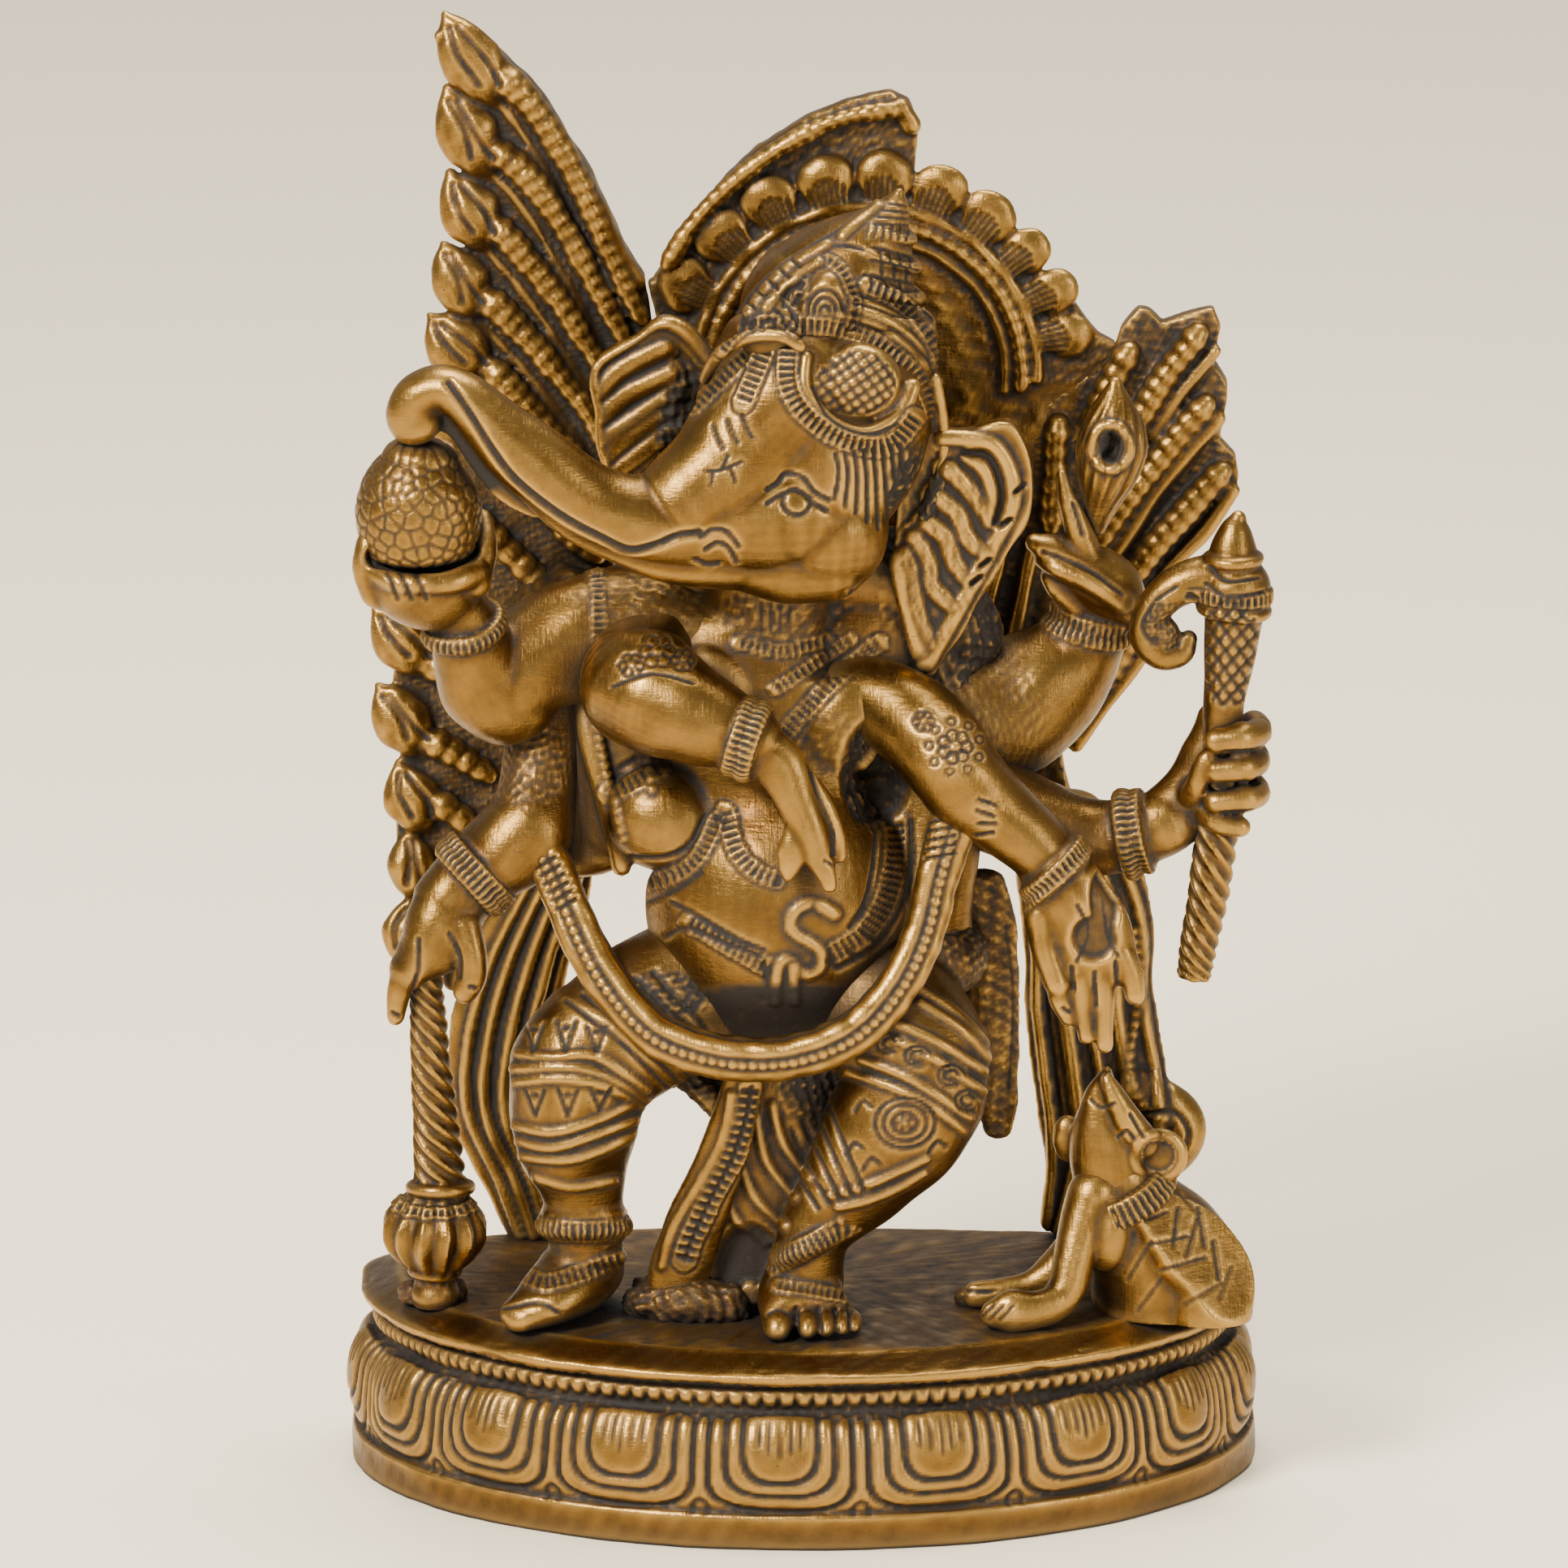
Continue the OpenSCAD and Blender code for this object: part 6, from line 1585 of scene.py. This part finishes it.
def make_mouse():
    """The mouse that sits at the figure's side and looks up."""
    floor = plinth_top()
    body = [[54, -7, 57.6, 6.6, 6], [55.4, -6.6, 54, 7.4, 7], [57.6, -6, 50.6, 9, 8.4],
            [60.4, -5.4, 46, 11.4, 10.4], [62.6, -4.4, 41, 13, 12], [63.6, -3.6, 37, 14, 13],
            [63.6, -3, 33.6, 14, 13.4]]
    leg = [[50, -11, 55, 4.6], [48.4, -12.4, 50.6, 4.2], [46.6, -14.6, 45, 3.6],
           [45.4, -16.6, 39.6, 3.4], [43, -18.6, 37.4, 3.4, 2.8], [39.4, -19.6, 36.6, 3.6, 2.9],
           [35.6, -19.8, 36.4, 4.2, 3.1], [32.6, -19.8, 36, 2.6, 2.1]]
    far = [[49, -4, 46, 4], [45, -5, 40.6, 3.6], [40, -6.4, 37, 3, 2.4], [34, -7.2, 36, 2.8, 2.2],
           [29.6, -7.6, 35.8, 2.6, 2]]
    flank = [[60, -12, 52, 5, 4], [66, -12, 46, 8, 6], [70, -12, 40, 8, 6.4], [70, -12, 34, 8, 6.6]]
    parts = [sweep(body, 40, 6, blunt=(1, 0.2)), sweep(leg, 24, 6), sweep(far, 20, 6),
             sweep(flank, 28, 6), dome((52.6, -12, 49), (5, 4.4, 7.4))]
    piece = Casting("mouse_body", parts, 0.48, soften=6)
    # the flank is filed flat
    face = unit(np.array((0.42, -0.78, 0.46)))
    over = (piece.p - (68.6, -15.4, 42.6)) @ face
    worn = (over > 0) & (piece.p[:, 0] > 56)
    piece.p[worn] -= over[worn, None] * face
    piece.settle()
    for k, (x, h, length, tilt) in enumerate((
            (64.4, 46, 7, 82), (67.4, 44.6, 8, 74), (63, 43.6, 7, 12), (68.8, 46, 7, 100),
            (65.6, 39.4, 8, 16), (71.4, 40, 7, 98), (61, 48, 4, 20), (69, 34, 8, 30),
            (58, 40, 8, 60), (60, 34, 7, 55), (73, 36, 6, 70), (66, 51, 5, 130))):
        a = math.radians(tilt)
        dx, dh = math.cos(a) * length / 2, math.sin(a) * length / 2
        deep = 0.4 if k < 7 else 0.2
        piece.cut([(x - dx, h - dh), (x + dx, h + dh)], 0.4, deep, 2 * deep + 0.1, bend=1)
    for dx in (-1.4, 0.4, 2.2):
        piece.cut([(34 + dx, 32), (31.6 + dx, 29.4)], 0.35, 0.35, bend=1)
    for k in range(3):
        piece.cut([(26.6 + 1.6 * k, 34.6 - 0.4 * k), (31 + 1.2 * k, 34.4)], 0.35, 0.35, bend=1)
    piece.knead(0.2, 12, 150).finish("polished_brass", "skin", floor=floor)

    head = [[53.4, -7, 57.6, 6.8, 6.4], [52.4, -7.6, 62.4, 6.6, 6], [51.6, -8, 67, 5.2, 4.8],
            [51.6, -8.6, 71.6, 3.4, 3], [52, -9, 75, 2, 1.9], [52.3, -9.2, 76.8, 1.1, 1.1]]
    ridge = [[52.4, -11, 76, 1.2], [54.4, -11.4, 71.6, 2.2], [57, -11, 66.6, 3, 2.4],
             [59.4, -10, 63.4, 3, 2.2]]
    parts = [sweep(head, 32, 6), sweep(ridge, 20, 6), dome((55, -8.4, 64.6), (4.4, 3.6, 5)),
             dome((61.4, -8.6, 61.4), (5.2, 1.8, 5)), dome((45.8, -4, 63), (2.8, 1.8, 4.4))]
    piece = Casting("mouse_head", parts, 0.36, soften=4)
    bowl = piece.card_mask((61.4, 58.8), (3.6, 3.6))
    piece.lift -= 0.5 * bowl
    piece.dark = np.maximum(piece.dark, 0.15 * bowl)
    piece.raise_line(oval(61.4, 58.8, 4.3, 4.3, 12), 1.4, 0.9, 0.4, 0.3, bend=2, closed=True)
    piece.cut([(54.4, 62.4), (55.8, 63.4), (57, 62)], 0.45, 0.45)
    piece.cut([(49.6, 69), (51.4, 67.6), (53.6, 68.4)], 0.4, 0.35)
    piece.cut([(56.4, 66.4), (58.6, 62.4)], 0.4, 0.4, bend=1)
    piece.knead(0.15, 8, 152).finish("polished_brass", "skin")

    parts = [hoop((54.6, -6.6, 54.6), (0.42, 0.15, -0.9), 7.8, 1.5),
             hoop((55.3, -6.4, 52.8), (0.42, 0.15, -0.9), 8.6, 1.3)]
    piece = Casting("mouse_collar", parts, 0.36, soften=2)
    bangle(piece, (54.9, -6.5, 53.7), (0.42, 0.15, -0.9), 12, 2.8)
    piece.finish("polished_brass", "cast")


def make_joints():
    """The lugs behind the figure and the fillets of brazing metal."""
    front, _ = plate_faces()
    lugs = ([[6, 14, 192, 8, 7.4], [6.6, 22, 191, 6.4, 6], [8, front + 1, 190, 8.4, 8]],
            [[-38, 6, 150, 7, 7], [-40, 20, 149, 6, 6], [-42, front + 1, 148, 8, 8]],
            [[36, 14, 138, 7, 7], [38, 24, 137, 6, 6], [40, front + 1, 136, 8, 8]])
    parts = [sweep(lug, 24, 6, side=(0, 0, 1)) for lug in lugs]
    piece = Casting("back_lugs", parts, 0.8, soften=4)
    piece.grit_and_shade(np.full(piece.count, 0.8), 0.5, 3, 0.6, seed=160)
    piece.knead(0.6, 6, 161).finish("brazing_metal", "braze")
    floor = plinth_top()
    rng = np.random.default_rng(162)
    parts = [sweep([[-28, -10, 35, 3.4, 4], [-21, -11.6, 36, 5, 5.4], [-13, -12, 35, 4, 4.4]], 24),
             sweep([[-68, -2, 34.4, 2.4, 3], [-61, -2, 34.6, 2.6, 3]], 20),
             sweep([[28, -5, 34.4, 2, 2], [36, -5.4, 34.6, 2, 2], [42, -8, 34.4, 1.6, 2]], 16)]
    for _ in range(34):
        x, y = rng.uniform(-28, -12), rng.uniform(-15.4, -8)
        parts.append(dome((x, y, 34.6 + rng.uniform(0, 3.4)), tuple(rng.uniform(0.9, 2.2, 3))))
    piece = Casting("brazing", parts, 0.42, soften=2)
    piece.grit_and_shade(np.full(piece.count, 0.8), 0.35, 1.8, 0.7, seed=163)
    piece.finish("brazing_metal", "braze", floor=floor)


# ---------------------------------------------------------------- stage

def area_light(name, place, size, power, colour):
    """A soft box that looks at the middle of the figure."""
    data = bpy.data.lights.new(name, "AREA")
    data.shape = "RECTANGLE"
    data.size, data.size_y = size
    data.energy = power
    data.color = colour
    lamp = bpy.data.objects.new(name, data)
    lamp.location = place
    way = Vector((0, 0, 0.12)) - Vector(place)
    lamp.rotation_euler = way.to_track_quat("-Z", "Y").to_euler()
    bpy.context.collection.objects.link(lamp)


def make_stage():
    """Camera, soft studio light and a wide pale floor."""
    s = settings()
    low, high = cad_box
    aim_left, aim_height = 0.0038, 0.495
    aim = Vector(((low.x + high.x) / 2 - aim_left, 0, low.z + (high.z - low.z) * aim_height))
    camera = bpy.data.objects.new("camera", bpy.data.cameras.new("camera"))
    tilt = math.radians(s.camera_height)
    camera.location = aim + Vector((0, -math.cos(tilt), math.sin(tilt))) * s.camera_distance
    camera.rotation_euler = (math.pi / 2 - tilt, 0, 0)
    camera.data.sensor_width = 36
    camera.data.lens = s.lens
    camera.data.clip_end = 20
    bpy.context.collection.objects.link(camera)
    bpy.context.scene.camera = camera

    reach = 9
    mesh = bpy.data.meshes.new("floor")
    mesh.from_pydata([(-reach, -reach, 0), (reach, -reach, 0), (reach, reach, 0),
                      (-reach, reach, 0)], [], [(0, 1, 2, 3)])
    floor = bpy.data.objects.new("floor", mesh)
    bpy.context.collection.objects.link(floor)
    paper = bpy.data.materials.new("pale_floor")
    paper.use_nodes = True
    shader = paper.node_tree.nodes["Principled BSDF"]
    shader.inputs["Base Color"].default_value = (1, 0.88, 0.66, 1)
    shader.inputs["Roughness"].default_value = 0.55
    mesh.materials.append(paper)

    area_light("key", (-0.75, -0.95, 1.05), (0.4, 0.5), 47, (1, 0.95, 0.88))
    area_light("fill", (1.0, -0.8, 0.45), (0.3, 0.7), 8, (1, 0.96, 0.92))
    area_light("top", (0.1, 0.25, 1.3), (0.8, 0.5), 23, (1, 0.97, 0.93))
    area_light("front", (0.15, -1.5, 0.25), (0.3, 0.3), 3, (1, 0.94, 0.86))
    world = bpy.data.worlds.new("studio")
    bpy.context.scene.world = world
    world.use_nodes = True
    sky = world.node_tree.nodes["Background"]
    sky.inputs["Color"].default_value = (1, 0.95, 0.9, 1)
    sky.inputs["Strength"].default_value = 0.58


# ---------------------------------------------------------------- add-on

class BrassStatueSettings(bpy.types.PropertyGroup):
    """Sizes and colours of the brass figure."""

    grain: bpy.props.FloatProperty(
        name="Wax grain", description="Size of the finest detail kept, as a share of the usual",
        default=1, min=0.7, max=3)
    # The crevice reach sets how far the painted crevice shade spreads.
    crevice: bpy.props.FloatProperty(
        name="Crevice reach", description="How far out of a crevice the dark patina reaches",
        default=0.007, min=0.001, max=0.02, unit="LENGTH")
    body_colour: bpy.props.FloatVectorProperty(
        name="Brass", description="Colour of the plain brass", subtype="COLOR", size=3,
        default=(0.132, 0.068, 0.015), min=0, max=1)
    # The rubbed colour also serves as a painted highlight on raised edges.
    bright_colour: bpy.props.FloatVectorProperty(
        name="Rubbed brass", description="Colour where the brass is rubbed bright",
        subtype="COLOR", size=3, default=(0.40, 0.232, 0.058), min=0, max=1)
    warm_colour: bpy.props.FloatVectorProperty(
        name="Red brass", description="Colour of the heat-stained patches", subtype="COLOR",
        size=3, default=(0.13, 0.047, 0.012), min=0, max=1)
    dull_colour: bpy.props.FloatVectorProperty(
        name="Dull brass", description="Colour where the brass has dulled", subtype="COLOR",
        size=3, default=(0.075, 0.044, 0.014), min=0, max=1)
    # The patina colour also serves as the painted shade in recesses and gaps.
    patina_and_shade_colour: bpy.props.FloatVectorProperty(
        name="Patina", description="Colour of the grime in the recesses", subtype="COLOR",
        size=3, default=(0.010, 0.006, 0.003), min=0, max=1)
    camera_distance: bpy.props.FloatProperty(
        name="Camera distance", description="Distance from the camera to the figure",
        default=3.6, min=0.5, max=5, unit="LENGTH")
    camera_height: bpy.props.FloatProperty(
        name="Camera elevation", description="Degrees above the horizon that the camera stands",
        default=16, min=0, max=60)
    lens: bpy.props.FloatProperty(
        name="Lens", description="Focal length of the camera, in millimetres",
        default=479, min=20, max=800)


class PieceOperator:
    """What the operators share: they model pieces and can be undone."""

    bl_options = {"REGISTER", "UNDO"}


class BRASSSTATUE_OT_stage(PieceOperator, bpy.types.Operator):
    """Set up the camera, the studio light and the pale floor"""
    bl_idname = "brassstatue.stage"
    bl_label = "Stage"

    def execute(self, context):
        make_stage()
        return {"FINISHED"}


class BRASSSTATUE_OT_plinth(PieceOperator, bpy.types.Operator):
    """Model the oval lotus plinth"""
    bl_idname = "brassstatue.plinth"
    bl_label = "Lotus plinth"

    def execute(self, context):
        make_plinth()
        return {"FINISHED"}


class BRASSSTATUE_OT_halo(PieceOperator, bpy.types.Operator):
    """Model the halo plate behind the head"""
    bl_idname = "brassstatue.halo"
    bl_label = "Halo"

    def execute(self, context):
        make_halo()
        return {"FINISHED"}


class BRASSSTATUE_OT_fans(PieceOperator, bpy.types.Operator):
    """Model the two feather fans"""
    bl_idname = "brassstatue.fans"
    bl_label = "Feather fans"

    def execute(self, context):
        make_left_fan()
        make_right_fan()
        return {"FINISHED"}


class BRASSSTATUE_OT_scarf_tails(PieceOperator, bpy.types.Operator):
    """Model the two flying scarf tails"""
    bl_idname = "brassstatue.scarf_tails"
    bl_label = "Scarf tails"

    def execute(self, context):
        make_scarf_tails()
        return {"FINISHED"}


class BRASSSTATUE_OT_torso(PieceOperator, bpy.types.Operator):
    """Model the chest and belly with their necklaces and girdle"""
    bl_idname = "brassstatue.torso"
    bl_label = "Torso"

    def execute(self, context):
        make_torso()
        return {"FINISHED"}


class BRASSSTATUE_OT_head(PieceOperator, bpy.types.Operator):
    """Model the head, the trunk and the crown"""
    bl_idname = "brassstatue.head"
    bl_label = "Head and crown"

    def execute(self, context):
        make_head()
        make_crown()
        return {"FINISHED"}


class BRASSSTATUE_OT_ears(PieceOperator, bpy.types.Operator):
    """Model the two ribbed ears"""
    bl_idname = "brassstatue.ears"
    bl_label = "Ears"

    def execute(self, context):
        make_ears()
        return {"FINISHED"}


class BRASSSTATUE_OT_left_arms(PieceOperator, bpy.types.Operator):
    """Model the arms on the left and the heap of sweets"""
    bl_idname = "brassstatue.left_arms"
    bl_label = "Left arms and sweets"

    def execute(self, context):
        make_left_arms()
        return {"FINISHED"}


class BRASSSTATUE_OT_right_arms(PieceOperator, bpy.types.Operator):
    """Model the arms on the right and the flower bud"""
    bl_idname = "brassstatue.right_arms"
    bl_label = "Right arms and bud"

    def execute(self, context):
        make_right_arms()
        return {"FINISHED"}


class BRASSSTATUE_OT_attributes(PieceOperator, bpy.types.Operator):
    """Model the mace and the elephant goad"""
    bl_idname = "brassstatue.attributes"
    bl_label = "Mace and goad"

    def execute(self, context):
        make_attributes()
        return {"FINISHED"}


class BRASSSTATUE_OT_sash(PieceOperator, bpy.types.Operator):
    """Model the beaded sash"""
    bl_idname = "brassstatue.sash"
    bl_label = "Sash"

    def execute(self, context):
        make_sash()
        return {"FINISHED"}


class BRASSSTATUE_OT_legs(PieceOperator, bpy.types.Operator):
    """Model the two legs with their anklets"""
    bl_idname = "brassstatue.legs"
    bl_label = "Legs"

    def execute(self, context):
        make_legs()
        return {"FINISHED"}


class BRASSSTATUE_OT_cloths(PieceOperator, bpy.types.Operator):
    """Model the waist pleat and the loose end of cloth"""
    bl_idname = "brassstatue.cloths"
    bl_label = "Pleat and loose end"

    def execute(self, context):
        make_cloths()
        return {"FINISHED"}


class BRASSSTATUE_OT_mouse(PieceOperator, bpy.types.Operator):
    """Model the mouse with its collar"""
    bl_idname = "brassstatue.mouse"
    bl_label = "Mouse"

    def execute(self, context):
        make_mouse()
        return {"FINISHED"}


class BRASSSTATUE_OT_joints(PieceOperator, bpy.types.Operator):
    """Model the back lugs and the brazing metal"""
    bl_idname = "brassstatue.joints"
    bl_label = "Lugs and brazing"

    def execute(self, context):
        make_joints()
        return {"FINISHED"}


OPERATORS = (
    BRASSSTATUE_OT_stage, BRASSSTATUE_OT_plinth, BRASSSTATUE_OT_halo, BRASSSTATUE_OT_fans,
    BRASSSTATUE_OT_scarf_tails, BRASSSTATUE_OT_torso, BRASSSTATUE_OT_head, BRASSSTATUE_OT_ears,
    BRASSSTATUE_OT_left_arms, BRASSSTATUE_OT_right_arms, BRASSSTATUE_OT_attributes,
    BRASSSTATUE_OT_sash, BRASSSTATUE_OT_legs, BRASSSTATUE_OT_cloths, BRASSSTATUE_OT_mouse,
    BRASSSTATUE_OT_joints)


class BRASSSTATUE_PT_panel(bpy.types.Panel):
    """Settings and operators of the brass statue"""
    bl_label = "Brass Statue"
    bl_idname = "BRASSSTATUE_PT_panel"
    bl_space_type = "VIEW_3D"
    bl_region_type = "UI"
    bl_category = "Brass Statue"

    def draw(self, context):
        layout = self.layout
        for name in BrassStatueSettings.__annotations__:
            layout.prop(context.scene.brass_statue, name)
        for kind in OPERATORS:
            layout.operator(kind.bl_idname)


def register():
    for kind in (BrassStatueSettings, *OPERATORS, BRASSSTATUE_PT_panel):
        bpy.utils.register_class(kind)
    bpy.types.Scene.brass_statue = bpy.props.PointerProperty(type=BrassStatueSettings)


def unregister():
    del bpy.types.Scene.brass_statue
    for kind in (BRASSSTATUE_PT_panel, *reversed(OPERATORS), BrassStatueSettings):
        bpy.utils.unregister_class(kind)


def main():
    """Models the statue piece by piece."""
    register()
    for kind in OPERATORS:
        family, name = kind.bl_idname.split(".")
        getattr(getattr(bpy.ops, family), name)()


if __name__ == "__main__":
    main()
